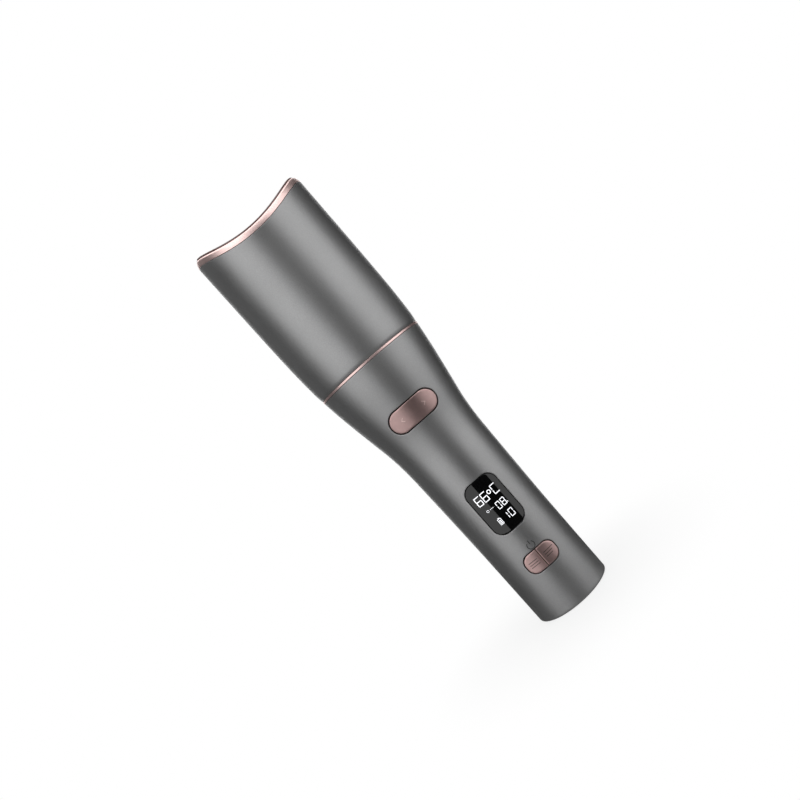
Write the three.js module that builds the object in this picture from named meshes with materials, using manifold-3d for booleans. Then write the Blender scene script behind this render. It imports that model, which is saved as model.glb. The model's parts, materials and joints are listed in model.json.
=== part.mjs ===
// A cordless automatic hair curler. Units are millimetres. +Z runs from the flat base up to the mouth,
// the buttons face -Y, and the origin is the middle of the base. Angles about +Z are measured from -Y.
import * as THREE from "three";
import { mergeVertices } from "three/addons/utils/BufferGeometryUtils.js";
import Module from "manifold-3d";

const wasm = await Module();
wasm.setup();

// ---- Fits and fineness ----
const FIT = 0.3; // clearance of a piece in its seat
const JOINT_LINE = 0.1; // line between two visible pieces
const ROUND = 48; // sides of the casings
const MEDIUM_ROUND = 24; // sides of the turned pieces inside
const SMALL_ROUND = 12; // sides of pins, screws and bores
const WELD = 1e-4; // corners closer than this are one corner
const OVERRUN = 2; // how far a cutting tool runs past what it cuts
const SINK = 1; // how far a shape runs into the one it is joined to
const CORNER_STEPS = 6; // points of a round corner
const SLOT_STEPS = 5;
const HEX = 6;
const CHAMBER_ROWS = 7; // rows of points up the casings
const LINER_ROWS = 4;
const GRIP_ROWS = 3;
const GRIP_INNER_ROWS = 2;
const FLARE_ROWS = 7;
const FLARE_INNER_ROWS = 5;
const PAD_ROWS = 4;

// ---- Casings ----
const GRIP_LENGTH = 76; // base to the start of the flare
const FLARE_LENGTH = 53.1; // start of the flare to the seam ring
const CHAMBER_LENGTH = 79.8; // seam ring to the two peaks of the mouth
const BASE_RADIUS = 17.74;
const GRIP_RADIUS = 18.28; // two thirds up the grip
const NECK_RADIUS = 19; // start of the flare
const SEAM_RADIUS = 26.1;
const MOUTH_RADIUS = 28.4;
const HANDLE_WALL = 1.8;
const CHAMBER_WALL = 1.6;
const LINER_WALL = 1;
const SEAM_RING_HEIGHT = 0.9;
const SEAM_RING_PROUD = 0.12;
const GRIP_SWELL_SHARE = 0.66; // share of the grip's length where GRIP_RADIUS is
const FLARE_SHAPE = [[0.26, 0.11], [0.52, 0.43], [0.78, 0.77]]; // shares of its length and growth
const CHAMBER_SHAPE = [[0.058, 0.3], [0.158, 0.51], [0.37, 0.73], [0.62, 0.85]];

// ---- Mouth ----
const WAVE_DEPTH = 10; // from the side peaks down to the front and rear dips
const TRIM_HEIGHT = 2.9;
const TRIM_INSET = 1.5; // how far the trim's round edge leans in
const TRIM_STEPS = 6;
const LIP_HEIGHT = 0.7;
const LIP_SKIRT = 5; // how far the lip reaches down inside
const LIP_WALL = 0.8;
const LIP_BEVEL = 0.3;

// ---- Base ----
const BASE_PROUD = 0.3; // the cap stands this far below the casing, as the foot
const BASE_FLOOR = 1.1;
const BASE_BEVEL = 0.25;
const BASE_RIM_HEIGHT = 5.6;
const BASE_RIM_WALL = 1.5;
const USB_WIDTH = 8.9;
const USB_DEPTH = 3.2;
const USB_RECESS = 0.4;
const USB_WALL = 0.35;
const USB_TONGUE_WIDTH = 6.6;
const USB_TONGUE_DEPTH = 0.7;
const CHARGE_BOARD_THICKNESS = 1.2;
const BASE_SCREW_X = 11;
const BASE_SCREW_Y = 1;

// ---- Screws ----
const SCREW_RADIUS = 1;
const SCREW_HEAD_RADIUS = 1.7;
const SCREW_HEAD_HEIGHT = 1.1;
const SCREW_SOCKET_RADIUS = 0.7;
const SCREW_SOCKET_DEPTH = 0.6;
const SCREW_GRIP = 3; // how deep a screw goes past what it holds down
const BOSS_RADIUS = 2.6;

// ---- Chassis, battery and boards ----
const CELL_RADIUS = 10.5;
const CELL_LENGTH = 70;
const CELL_CAP_RADIUS = 3.6;
const CELL_CAP_HEIGHT = 0.6;
const FRAME_WALL = 0.9;
const PLATE_THICKNESS = 1.2;
const FRAME_FLOOR = 1.8;
const RIB_THICKNESS = 2;
const RIB_COUNT = 3;
const TAB_THICKNESS = 0.3;
const TAB_WIDTH = 6;
const TAB_LENGTH = 14;
const BOARD_THICKNESS = 1.2;
const BOARD_SIDE_MARGIN = 0.8;
const BOARD_TOP_ABOVE_ROCKER = 8;
const POST_HEIGHT = 0.8;
const POST_RADIUS = 2.2;
const SWITCH_SIZE = 3.6;
const SWITCH_HEIGHT = 2.2;
const SWITCH_CAP_RADIUS = 0.9;
const SWITCH_CAP_HEIGHT = 0.7;
const BUZZER_RADIUS = 4.5;
const BUZZER_HEIGHT = 2.4;
const BUZZER_Z = 77;
const BOARD_SCREW_UPPER_Z = 90;

// ---- Display ----
const WINDOW_WIDTH = 15.1;
const WINDOW_HEIGHT = 24.7;
const WINDOW_CORNER = 4.6;
const WINDOW_Z = 53;
const WINDOW_SINK = 0.08; // the pane lies this far below the casing's surface
const WINDOW_GAP = 0.15;
const LCD_THICKNESS = 1.8;
const LCD_MARGIN = 1.4; // the panel is this much smaller than the window, each side
const LCD_BEZEL = 1.2;

// ---- Buttons ----
const KEY_WIDTH = 14.8; // both keys together
const KEY_HEIGHT = 8.7;
const KEY_CORNER = 3.6;
const KEY_Z = 24.5;
const KEY_GAP = 0.3; // round the keys, and between them
const KEY_PROUD = 0.35;
const KEY_DEPTH = 2.9; // from the casing's surface to the back of the keys
const KEY_FLANGE = 0.8; // how far the keys' flange reaches behind the casing
const KEY_FLANGE_THICKNESS = 0.8;
const KEY_TRAVEL = 0.4;
const STEM_RADIUS = 1.2;
const ROCKER_WIDTH = 22.5;
const ROCKER_HEIGHT = 9.6;
const ROCKER_ABOVE_NECK = 26.8;
const ROCKER_GAP = 0.4;
const ROCKER_PROUD = 0.3;
const ROCKER_DEPTH = 3;
const ROCKER_SWITCH_X = 7;
const ROCKER_TILT = 3; // degrees each way
const ROCKER_PIN_DEPTH = 6.4; // below the casing's surface
const ROCKER_PIN_RADIUS = 0.8;
const ROCKER_RIB_HALF_WIDTH = 1.9;
const ROCKER_RIB_HALF_HEIGHT = 4;
const EAR_THICKNESS = 1.6;
const EAR_HALF_WIDTH = 1.9;
const EAR_LIP = 1.3; // material of the ear in front of its pin
const STEM_CLEARANCE = 0.25; // left between a pressed stem and its switch

// ---- Bulkhead, motor and gears ----
const BULKHEAD_THICKNESS = 3.2;
const BULKHEAD_TOP_BELOW_SEAM = 0.5;
const SPIGOT_HEIGHT = 3.2; // above the chamber's bottom edge
const SPIGOT_WALL = 1.6;
const RING_PITCH = 15; // pitch circle's radius
const RING_TEETH = 50;
const GEAR_RATIO = 3.125; // turns of the pinion for one turn of the ring
const RING_GEAR_RIM = 2.8; // from the pitch circle to the outside
const GEAR_WIDTH = 4;
const GEAR_LIFT = 2.6; // gears above the bulkhead
const TOOTH_TOP_SHARE = 5 / 6; // tooth sizes are shares of the gears' module
const TOOTH_ROOT_SHARE = 5 / 4;
const TOOTH_TIP_WIDTH_SHARE = 3 / 4;
const TOOTH_ROOT_WIDTH_SHARE = 5 / 3;
const MOTOR_RADIUS = 7.5;
const MOTOR_LENGTH = 20.5;
const MOTOR_BOSS_RADIUS = 3;
const MOTOR_BOSS_HEIGHT = 1.2;
const GEARBOX_RADIUS = 8;
const GEARBOX_LENGTH = 12.6;
const SHAFT_RADIUS = 1.5;
const SHAFT_SOCKET = 4; // how deep the shaft sits in the gearbox
const MOTOR_SCREW_X = 5.5;
const FRAME_SCREW_X = 6;
const LUG_HEIGHT = 4.4;
const LUG_DEPTH = 5.2;
const LUG_HALF_WIDTH = 9;

// ---- Heated barrel and rotor ----
const STEM_TUBE_RADIUS = 4.2;
const STEM_BORE = 3;
const FOOT_RADIUS = 8.2;
const FOOT_THICKNESS = 2;
const FOOT_SCREW_X = 5.8;
const FOOT_SCREW_Y = -2.6;
const FOOT_SCREW_GRIP = 2;
const BARREL_RADIUS = 13;
const BARREL_WALL = 1.5;
const BARREL_LENGTH = 51;
const COLLAR_THICKNESS = 1.5; // flange of the barrel's base
const PLUG_LENGTH = 4.5;
const TIP_HEIGHT = 4.2;
const TIP_CROWN = 1.6;
const BUSH_WALL = 1.1;
const BUSH_FLANGE_RADIUS = 7;
const BUSH_FLANGE = 0.5;
const ROTOR_HUB_WALL = 1.7;
const ROTOR_HUB_HEIGHT = 3.2;
const ROTOR_WEB = 2;
const ROTOR_SKIRT_WALL = 1.5;
const ARM_OUTER_RADIUS = 20.6;
const ARM_THICKNESS = 2.2;
const ARM_HALF_ANGLE = 13; // degrees
const ARM_TOP_BELOW_DIP = 7;
const HOOK_REACH = 1.6;
const HOOK_HEIGHT = 3.5;
const ARM_ANGLES = [90, 270]; // the arms park beside the two peaks, clear of the dips
const HEATER_THICKNESS = 3.2;
const HEATER_WIDTH = 18;
const HEATER_LENGTH = 38;
const SENSOR_BORE_Y = 6;
const THERMISTOR_RADIUS = 1.2;
const FUSE_RADIUS = 1.5;
const SENSOR_LENGTH = 12;
const MAGNET_SIZE = 2.2;
const MAGNET_DEPTH = 1.4;
const HALL_HEIGHT = 1.6;
const MAGNET_ANGLE = 45; // degrees
const LEAD_RADIUS = 1.2;
const LEAD_SIDES = 8;
const LEAD_STEPS = 24;
const LEAD_ABOVE_MOTOR = 4; // the lead's end, above the motor's lower end

// ---- Heights and depths that follow from the sizes above ----
const HANDLE_LENGTH = GRIP_LENGTH + FLARE_LENGTH;
const CHAMBER_BOTTOM = HANDLE_LENGTH + SEAM_RING_HEIGHT + 2 * JOINT_LINE;
const MOUTH_TOP = CHAMBER_BOTTOM + CHAMBER_LENGTH;
const DIP = MOUTH_TOP - WAVE_DEPTH;
const CASING_BOTTOM = BASE_PROUD;

const flareStations = FLARE_SHAPE.map(([length, growth]) => [
  GRIP_LENGTH + length * FLARE_LENGTH,
  NECK_RADIUS + growth * (SEAM_RADIUS - NECK_RADIUS),
]);
const handleRadius = smoothThrough([
  [0, BASE_RADIUS],
  [GRIP_LENGTH * GRIP_SWELL_SHARE, GRIP_RADIUS],
  [GRIP_LENGTH, NECK_RADIUS],
  ...flareStations,
  [HANDLE_LENGTH, SEAM_RADIUS],
]);
const chamberStations = CHAMBER_SHAPE.map(([length, growth]) => [
  CHAMBER_BOTTOM + length * CHAMBER_LENGTH,
  SEAM_RADIUS + growth * (MOUTH_RADIUS - SEAM_RADIUS),
]);
const chamberRadius = smoothThrough([
  [CHAMBER_BOTTOM, SEAM_RADIUS],
  ...chamberStations,
  [MOUTH_TOP, MOUTH_RADIUS],
]);
const handleInside = (z) => handleRadius(z) - HANDLE_WALL;
const chamberInside = (z) => chamberRadius(z) - CHAMBER_WALL;

const ROCKER_Z = GRIP_LENGTH + ROCKER_ABOVE_NECK;
const ROCKER_PIN_Y = ROCKER_PIN_DEPTH - handleRadius(ROCKER_Z);
const BASE_RIM_TOP = BASE_FLOOR + BASE_RIM_HEIGHT;
const CHARGE_BOARD_Z = BASE_RIM_TOP + FIT;
const FRAME_BOTTOM = CHARGE_BOARD_Z + CHARGE_BOARD_THICKNESS + FIT;
const FRAME_RADIUS = handleInside(FRAME_BOTTOM) - FIT;
const CELL_Y = FRAME_RADIUS - FRAME_WALL - FIT - CELL_RADIUS;
const CELL_BOTTOM = FRAME_BOTTOM + FRAME_FLOOR + SCREW_GRIP + 2 * FIT + TAB_THICKNESS;
const CELL_TOP = CELL_BOTTOM + CELL_LENGTH;
const PLATE_BACK = CELL_Y - CELL_RADIUS - FIT;
const PLATE_FRONT = PLATE_BACK - PLATE_THICKNESS;
const LUG_SCREW_Y = PLATE_BACK - LUG_DEPTH / 2;
const BOARD_BACK = PLATE_FRONT - POST_HEIGHT - FIT;
const BOARD_FRONT = BOARD_BACK - BOARD_THICKNESS;
const BOARD_BOTTOM = FRAME_BOTTOM + FRAME_FLOOR;
const BOARD_TOP = ROCKER_Z + BOARD_TOP_ABOVE_ROCKER;
const BOARD_HALF_WIDTH = Math.sqrt(handleInside(BOARD_BOTTOM) ** 2 - BOARD_FRONT ** 2) - BOARD_SIDE_MARGIN;
const BOARD_SCREW_LOWER_Z = BOARD_BOTTOM + BOSS_RADIUS;

const BULKHEAD_TOP = HANDLE_LENGTH - BULKHEAD_TOP_BELOW_SEAM;
const BULKHEAD_BOTTOM = BULKHEAD_TOP - BULKHEAD_THICKNESS;
const SPIGOT_TOP = CHAMBER_BOTTOM + SPIGOT_HEIGHT;
const SPIGOT_RADIUS = Math.min(handleInside(HANDLE_LENGTH), chamberInside(CHAMBER_BOTTOM)) - FIT;
const GEAR_MODULE = (2 * RING_PITCH) / RING_TEETH;
const PINION_TEETH = Math.round(RING_TEETH / GEAR_RATIO);
const PINION_PITCH = (PINION_TEETH * GEAR_MODULE) / 2;
const TOOTH_TOP = TOOTH_TOP_SHARE * GEAR_MODULE;
const TOOTH_ROOT = TOOTH_ROOT_SHARE * GEAR_MODULE;
const TOOTH_TIP_WIDTH = TOOTH_TIP_WIDTH_SHARE * GEAR_MODULE;
const TOOTH_ROOT_WIDTH = TOOTH_ROOT_WIDTH_SHARE * GEAR_MODULE;
const MOTOR_Y = RING_PITCH - PINION_PITCH;
const GEAR_BOTTOM = BULKHEAD_TOP + GEAR_LIFT;
const GEAR_TOP = GEAR_BOTTOM + GEAR_WIDTH;
const GEARBOX_TOP = BULKHEAD_BOTTOM - FIT;
const MOTOR_TOP = GEARBOX_TOP - GEARBOX_LENGTH - FIT;
const MOTOR_BOTTOM = MOTOR_TOP - MOTOR_LENGTH;
const RING_GEAR_RADIUS = RING_PITCH + RING_GEAR_RIM;
const PINION_TOP = GEAR_TOP - JOINT_LINE;

const BUSH_FLANGE_BOTTOM = GEAR_TOP + FIT;
const WEB_BOTTOM = BUSH_FLANGE_BOTTOM + BUSH_FLANGE + FIT;
const WEB_TOP = WEB_BOTTOM + ROTOR_WEB;
const HUB_TOP = WEB_TOP + ROTOR_HUB_HEIGHT;
const BUSH_BORE = STEM_TUBE_RADIUS + FIT;
const BUSH_RADIUS = BUSH_BORE + BUSH_WALL;
const HUB_BORE = BUSH_RADIUS + FIT;
const SKIRT_INNER = RING_GEAR_RADIUS + FIT;
const COLLAR_BOTTOM = HUB_TOP + 2 * FIT;
const BARREL_BOTTOM = COLLAR_BOTTOM + COLLAR_THICKNESS + FIT;
const BARREL_TOP = BARREL_BOTTOM + BARREL_LENGTH;
const BARREL_INSIDE = BARREL_RADIUS - BARREL_WALL;
const STEM_TOP = BARREL_BOTTOM + PLUG_LENGTH - FIT;
const SPREADER_RADIUS = BARREL_INSIDE - FIT;
const HEATER_BOTTOM = BARREL_BOTTOM + PLUG_LENGTH + 2 * FIT;
const HEATER_TOP = HEATER_BOTTOM + HEATER_LENGTH;
const ARM_TOP = DIP - ARM_TOP_BELOW_DIP;

// ---- Finishes ----
const finish = (color, roughness, metalness) => ({ color, roughness, metalness });
const GREY_SHELL = finish(0x5c5d60, 0.36, 0.7);
const ROSE_GOLD = finish(0xc9a29b, 0.28, 0.85);
const DARK_PLASTIC = finish(0x232326, 0.55, 0);
const SMOKED_PANE = finish(0x2b2b2e, 0.12, 0.1);
const CERAMIC = finish(0x2e2a2c, 0.35, 0.1);
const STEEL = finish(0xb7b9bc, 0.35, 1);
const ALUMINIUM = finish(0xc5c7ca, 0.4, 1);
const BRASS = finish(0xb08d4a, 0.35, 1);
const NICKEL = finish(0xa9a9a4, 0.3, 1);
const BOARD_GREEN = finish(0x1f5a3a, 0.6, 0);
const CELL_WRAP = finish(0x2f6fa8, 0.45, 0);
const WHITE_PLASTIC = finish(0xdedbd4, 0.6, 0);
const BLACK_PART = finish(0x1b1b1d, 0.5, 0);
const RED_SILICONE = finish(0x9c2f2a, 0.6, 0);

// ---- Shape tools ----

// A smooth curve through [place, value] stations: cubic pieces whose slopes follow the neighbours.
function smoothThrough(stations) {
  const last = stations.length - 1;
  const slopes = stations.map((_, i) => {
    const [before, after] = [stations[Math.max(i - 1, 0)], stations[Math.min(i + 1, last)]];
    return (after[1] - before[1]) / (after[0] - before[0]);
  });
  return (place) => {
    const found = stations.findIndex(([station]) => place <= station);
    const i = Math.min(Math.max(found < 0 ? last : found, 1), last);
    const [x0, y0] = stations[i - 1];
    const [x1, y1] = stations[i];
    const span = x1 - x0;
    const t = Math.min(Math.max((place - x0) / span, 0), 1);
    const rise = t * t * (3 - 2 * t);
    const leave = t * (1 - t) * (1 - t) * span * slopes[i - 1];
    const arrive = t * t * (t - 1) * span * slopes[i];
    return y0 + (y1 - y0) * rise + leave + arrive;
  };
}

// Evenly spaced numbers, both ends included.
function spread(from, to, count) {
  return Array.from({ length: count }, (_, i) => from + ((to - from) * i) / (count - 1));
}

// A closed geometry as a solid that can be joined and cut.
function solidOf(geometry) {
  const loose = geometry.index ? geometry.toNonIndexed() : geometry;
  const bare = new THREE.BufferGeometry().setAttribute("position", loose.getAttribute("position"));
  const merged = mergeVertices(bare, WELD);
  const corners = merged.index.array;
  const kept = [];
  for (let i = 0; i < corners.length; i += 3) {
    const [a, b, c] = [corners[i], corners[i + 1], corners[i + 2]];
    if (a !== b && b !== c && c !== a) kept.push(a, b, c);
  }
  const mesh = new wasm.Mesh({
    numProp: 3,
    vertProperties: merged.getAttribute("position").array,
    triVerts: new Uint32Array(kept),
  });
  return new wasm.Manifold(mesh);
}

// A solid back as a geometry.
function geometryOf(solid) {
  const mesh = solid.getMesh();
  const geometry = new THREE.BufferGeometry();
  geometry.setAttribute("position", new THREE.BufferAttribute(mesh.vertProperties, 3));
  geometry.setIndex(new THREE.BufferAttribute(mesh.triVerts, 1));
  geometry.computeVertexNormals();
  return geometry;
}

// A section of [radius, height] points, anticlockwise, turned about +Z. A section off the axis closes.
function turnedGeometry(section, sides = ROUND) {
  const points = section.map(([radius, height]) => new THREE.Vector2(radius, height));
  if (section[0][0] > 0) points.push(points[0].clone());
  return new THREE.LatheGeometry(points, sides).rotateX(Math.PI / 2);
}

const turned = (section, sides) => solidOf(turnedGeometry(section, sides));

// A section between two offsets from an outline, over the given heights.
function skinSection(outline, inner, outer, outerHeights, innerHeights = outerHeights) {
  const up = outerHeights.map((z) => [outline(z) + outer, z]);
  const down = innerHeights.map((z) => [outline(z) + inner, z]).reverse();
  return [...up, ...down];
}

// Lowers a turned geometry's upper part in a wave: none at the sides, most at the front and rear.
// Points at height `to` and above follow the whole wave, those at `from` stay, and walls keep to the outline.
function scalloped(geometry, from = 0, to = HANDLE_LENGTH) {
  const position = geometry.getAttribute("position");
  for (let i = 0; i < position.count; i += 1) {
    const [x, y, z] = [position.getX(i), position.getY(i), position.getZ(i)];
    const radius = Math.hypot(x, y);
    const share = Math.min(1, Math.max(0, (z - from) / (to - from)));
    const lower = z - (WAVE_DEPTH * share * y * y) / (radius * radius);
    const scale = 1 + (chamberRadius(lower) - chamberRadius(z)) / radius;
    position.setXYZ(i, x * scale, y * scale, lower);
  }
  return solidOf(geometry);
}

// An upright cylinder.
function post(radius, bottom, top, x = 0, y = 0, sides = SMALL_ROUND) {
  const geometry = new THREE.CylinderGeometry(radius, radius, top - bottom, sides);
  return solidOf(geometry.rotateX(Math.PI / 2).translate(x, y, (top + bottom) / 2));
}

// A cylinder along Y, from y0 to y1.
function pegY(radius, y0, y1, x, z, sides = SMALL_ROUND) {
  const geometry = new THREE.CylinderGeometry(radius, radius, y1 - y0, sides);
  return solidOf(geometry.translate(x, (y0 + y1) / 2, z));
}

function pipe(outer, inner, bottom, top, sides = MEDIUM_ROUND) {
  return turned([[inner, bottom], [outer, bottom], [outer, top], [inner, top]], sides);
}

function block(x0, x1, y0, y1, z0, z1) {
  const geometry = new THREE.BoxGeometry(x1 - x0, y1 - y0, z1 - z0);
  return solidOf(geometry.translate((x0 + x1) / 2, (y0 + y1) / 2, (z0 + z1) / 2));
}

// A rectangle with round corners about the middle.
function roundedShape(width, height, corner, steps = CORNER_STEPS) {
  const [x, y, quarter] = [width / 2 - corner, height / 2 - corner, Math.PI / 2];
  const centres = [[x, y], [-x, y], [-x, -y], [x, -y]];
  const points = centres.flatMap(([cx, cy], k) =>
    spread(k * quarter, (k + 1) * quarter, steps).map(
      (angle) => new THREE.Vector2(cx + corner * Math.cos(angle), cy + corner * Math.sin(angle)),
    ),
  );
  return new THREE.Shape(points);
}

// A shape drawn in X and Z, extruded along Y from the front plane to the back plane.
function frontPrism(shape, front, back, z) {
  const geometry = new THREE.ExtrudeGeometry(shape, { depth: back - front, bevelEnabled: false });
  return solidOf(geometry.rotateX(Math.PI / 2).translate(0, back, z));
}

// A shape drawn in X and Y, extruded upwards.
function upPrism(shape, bottom, top) {
  const geometry = new THREE.ExtrudeGeometry(shape, { depth: top - bottom, bevelEnabled: false });
  return solidOf(geometry.translate(0, 0, bottom));
}

// A round lead along a smooth curve through [x, y, z] points.
function lead(points) {
  const path = new THREE.CatmullRomCurve3(points.map((point) => new THREE.Vector3(...point)));
  const ring = spread(0, 2 * Math.PI, LEAD_SIDES + 1).slice(0, -1);
  const shape = new THREE.Shape(
    ring.map((angle) => new THREE.Vector2(LEAD_RADIUS * Math.cos(angle), LEAD_RADIUS * Math.sin(angle))),
  );
  const options = { steps: LEAD_STEPS, extrudePath: path, bevelEnabled: false };
  return solidOf(new THREE.ExtrudeGeometry(shape, options));
}

// Corners of a gear: each tooth narrows from its root radius to its tip radius.
function gearPoints(teeth, rootRadius, tipRadius, turn) {
  const points = [];
  for (let tooth = 0; tooth < teeth; tooth += 1) {
    const middle = turn + (tooth * 2 * Math.PI) / teeth;
    const corners = [
      [rootRadius, -TOOTH_ROOT_WIDTH],
      [tipRadius, -TOOTH_TIP_WIDTH],
      [tipRadius, TOOTH_TIP_WIDTH],
      [rootRadius, TOOTH_ROOT_WIDTH],
    ];
    for (const [radius, width] of corners) {
      const angle = middle + width / 2 / radius;
      points.push(new THREE.Vector2(radius * Math.sin(angle), radius * Math.cos(angle)));
    }
  }
  return points;
}

// A screw along +Z, with its head's top at z = 0 and its shank below.
function screwSolid(length) {
  const head = post(SCREW_HEAD_RADIUS, -SCREW_HEAD_HEIGHT, 0);
  const shank = post(SCREW_RADIUS, -length, -SCREW_HEAD_HEIGHT / 2);
  const socket = post(SCREW_SOCKET_RADIUS, -SCREW_SOCKET_DEPTH, OVERRUN, 0, 0, HEX);
  return head.add(shank).subtract(socket);
}

const model = new THREE.Group();

// Adds one named piece; place and turn set where it lies.
function piece(name, solid, look, place = [0, 0, 0], turn = [0, 0, 0]) {
  const mesh = new THREE.Mesh(geometryOf(solid), new THREE.MeshStandardMaterial(look));
  mesh.name = name;
  mesh.position.set(...place);
  mesh.rotation.set(...turn);
  model.add(mesh);
}

// ---- Casings ----

function addChamber() {
  const trimBottom = MOUTH_TOP - LIP_HEIGHT - TRIM_HEIGHT;
  const casingTop = trimBottom - JOINT_LINE;
  // The casing's inside and the liner share their stations, so that the gap between them is even.
  const linerBottom = SPIGOT_TOP + FIT;
  const linerHeights = spread(linerBottom, casingTop, LINER_ROWS);
  const casing = skinSection(
    chamberRadius,
    -CHAMBER_WALL,
    0,
    [CHAMBER_BOTTOM, ...spread(linerBottom, casingTop, CHAMBER_ROWS)],
    [CHAMBER_BOTTOM, ...linerHeights],
  );
  piece("barrel_housing", scalloped(turnedGeometry(casing), linerBottom, casingTop), GREY_SHELL);

  const linerOuter = -CHAMBER_WALL - FIT;
  const linerInner = linerOuter - LINER_WALL;
  const liner = skinSection(chamberRadius, linerInner, linerOuter, linerHeights);
  piece("heat_shield", scalloped(turnedGeometry(liner), linerBottom, casingTop), ALUMINIUM);

  const trimTop = trimBottom + TRIM_HEIGHT - JOINT_LINE;
  const edge = chamberRadius(trimBottom);
  const trimInner = edge - TRIM_INSET;
  const roundEdge = spread(0, Math.PI / 2, TRIM_STEPS).map((angle) => [
    trimInner + TRIM_INSET * Math.cos(angle),
    trimBottom + (trimTop - trimBottom) * Math.sin(angle),
  ]);
  const trim = [[edge + linerInner, trimBottom], ...roundEdge, [edge + linerInner, trimTop]];
  piece("mouth_trim_ring", scalloped(turnedGeometry(trim)), ROSE_GOLD);

  const skirtOuter = edge + linerInner - FIT;
  const skirtInner = skirtOuter - LIP_WALL;
  const lipBottom = MOUTH_TOP - LIP_HEIGHT;
  const lip = [
    [skirtInner, lipBottom - LIP_SKIRT],
    [skirtOuter, lipBottom - LIP_SKIRT],
    [skirtOuter, lipBottom],
    [trimInner, lipBottom],
    [trimInner, MOUTH_TOP - LIP_BEVEL],
    [trimInner - LIP_BEVEL, MOUTH_TOP],
    [skirtInner, MOUTH_TOP],
  ];
  piece("mouth_lip", scalloped(turnedGeometry(lip)), DARK_PLASTIC);

  const ringBottom = HANDLE_LENGTH + JOINT_LINE;
  const ringTop = ringBottom + SEAM_RING_HEIGHT;
  const ring = pipe(SEAM_RADIUS + SEAM_RING_PROUD, SPIGOT_RADIUS + FIT, ringBottom, ringTop, ROUND);
  piece("seam_ring", ring, ROSE_GOLD);
}

// A piece of the handle's skin behind a shape on its front, between two offsets from its surface.
function skinPad(shape, z, halfHeight, inner, outer) {
  const heights = spread(z - halfHeight - OVERRUN, z + halfHeight + OVERRUN, PAD_ROWS);
  const band = turned(skinSection(handleRadius, inner, outer, heights));
  return band.intersect(frontPrism(shape, -SEAM_RADIUS - OVERRUN, 0, z));
}

// Heights of the rows of points up the grip and on up the flare.
function handleRows(gripRows, flareRows) {
  const grip = spread(CASING_BOTTOM, GRIP_LENGTH, gripRows);
  return [...grip, ...spread(GRIP_LENGTH, HANDLE_LENGTH, flareRows).slice(1)];
}

function addHandle() {
  const section = skinSection(
    handleRadius,
    -HANDLE_WALL,
    0,
    handleRows(GRIP_ROWS, FLARE_ROWS),
    handleRows(GRIP_INNER_ROWS, FLARE_INNER_ROWS),
  );
  const whole = turned(section);
  const reach = SEAM_RADIUS + OVERRUN;
  const frontHalf = block(-reach, reach, -reach, -JOINT_LINE / 2, -OVERRUN, HANDLE_LENGTH + OVERRUN);
  const rearHalf = block(-reach, reach, JOINT_LINE / 2, reach, -OVERRUN, HANDLE_LENGTH + OVERRUN);
  const openings = [
    [WINDOW_WIDTH, WINDOW_HEIGHT, WINDOW_CORNER, WINDOW_GAP, WINDOW_Z],
    [KEY_WIDTH, KEY_HEIGHT, KEY_CORNER, KEY_GAP, KEY_Z],
    [ROCKER_WIDTH, ROCKER_HEIGHT, ROCKER_HEIGHT / 2, ROCKER_GAP, ROCKER_Z],
  ];
  let front = whole.intersect(frontHalf);
  for (const [width, height, corner, gap, z] of openings) {
    const shape = roundedShape(width + 2 * gap, height + 2 * gap, corner + gap - WELD);
    front = front.subtract(frontPrism(shape, -reach, -JOINT_LINE, z));
  }
  piece("handle_front_shell", front, GREY_SHELL);
  piece("handle_rear_shell", whole.intersect(rearHalf), GREY_SHELL);

  const pane = roundedShape(WINDOW_WIDTH, WINDOW_HEIGHT, WINDOW_CORNER);
  piece(
    "display_window",
    skinPad(pane, WINDOW_Z, WINDOW_HEIGHT / 2, -HANDLE_WALL, -WINDOW_SINK),
    SMOKED_PANE,
  );
}

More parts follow.
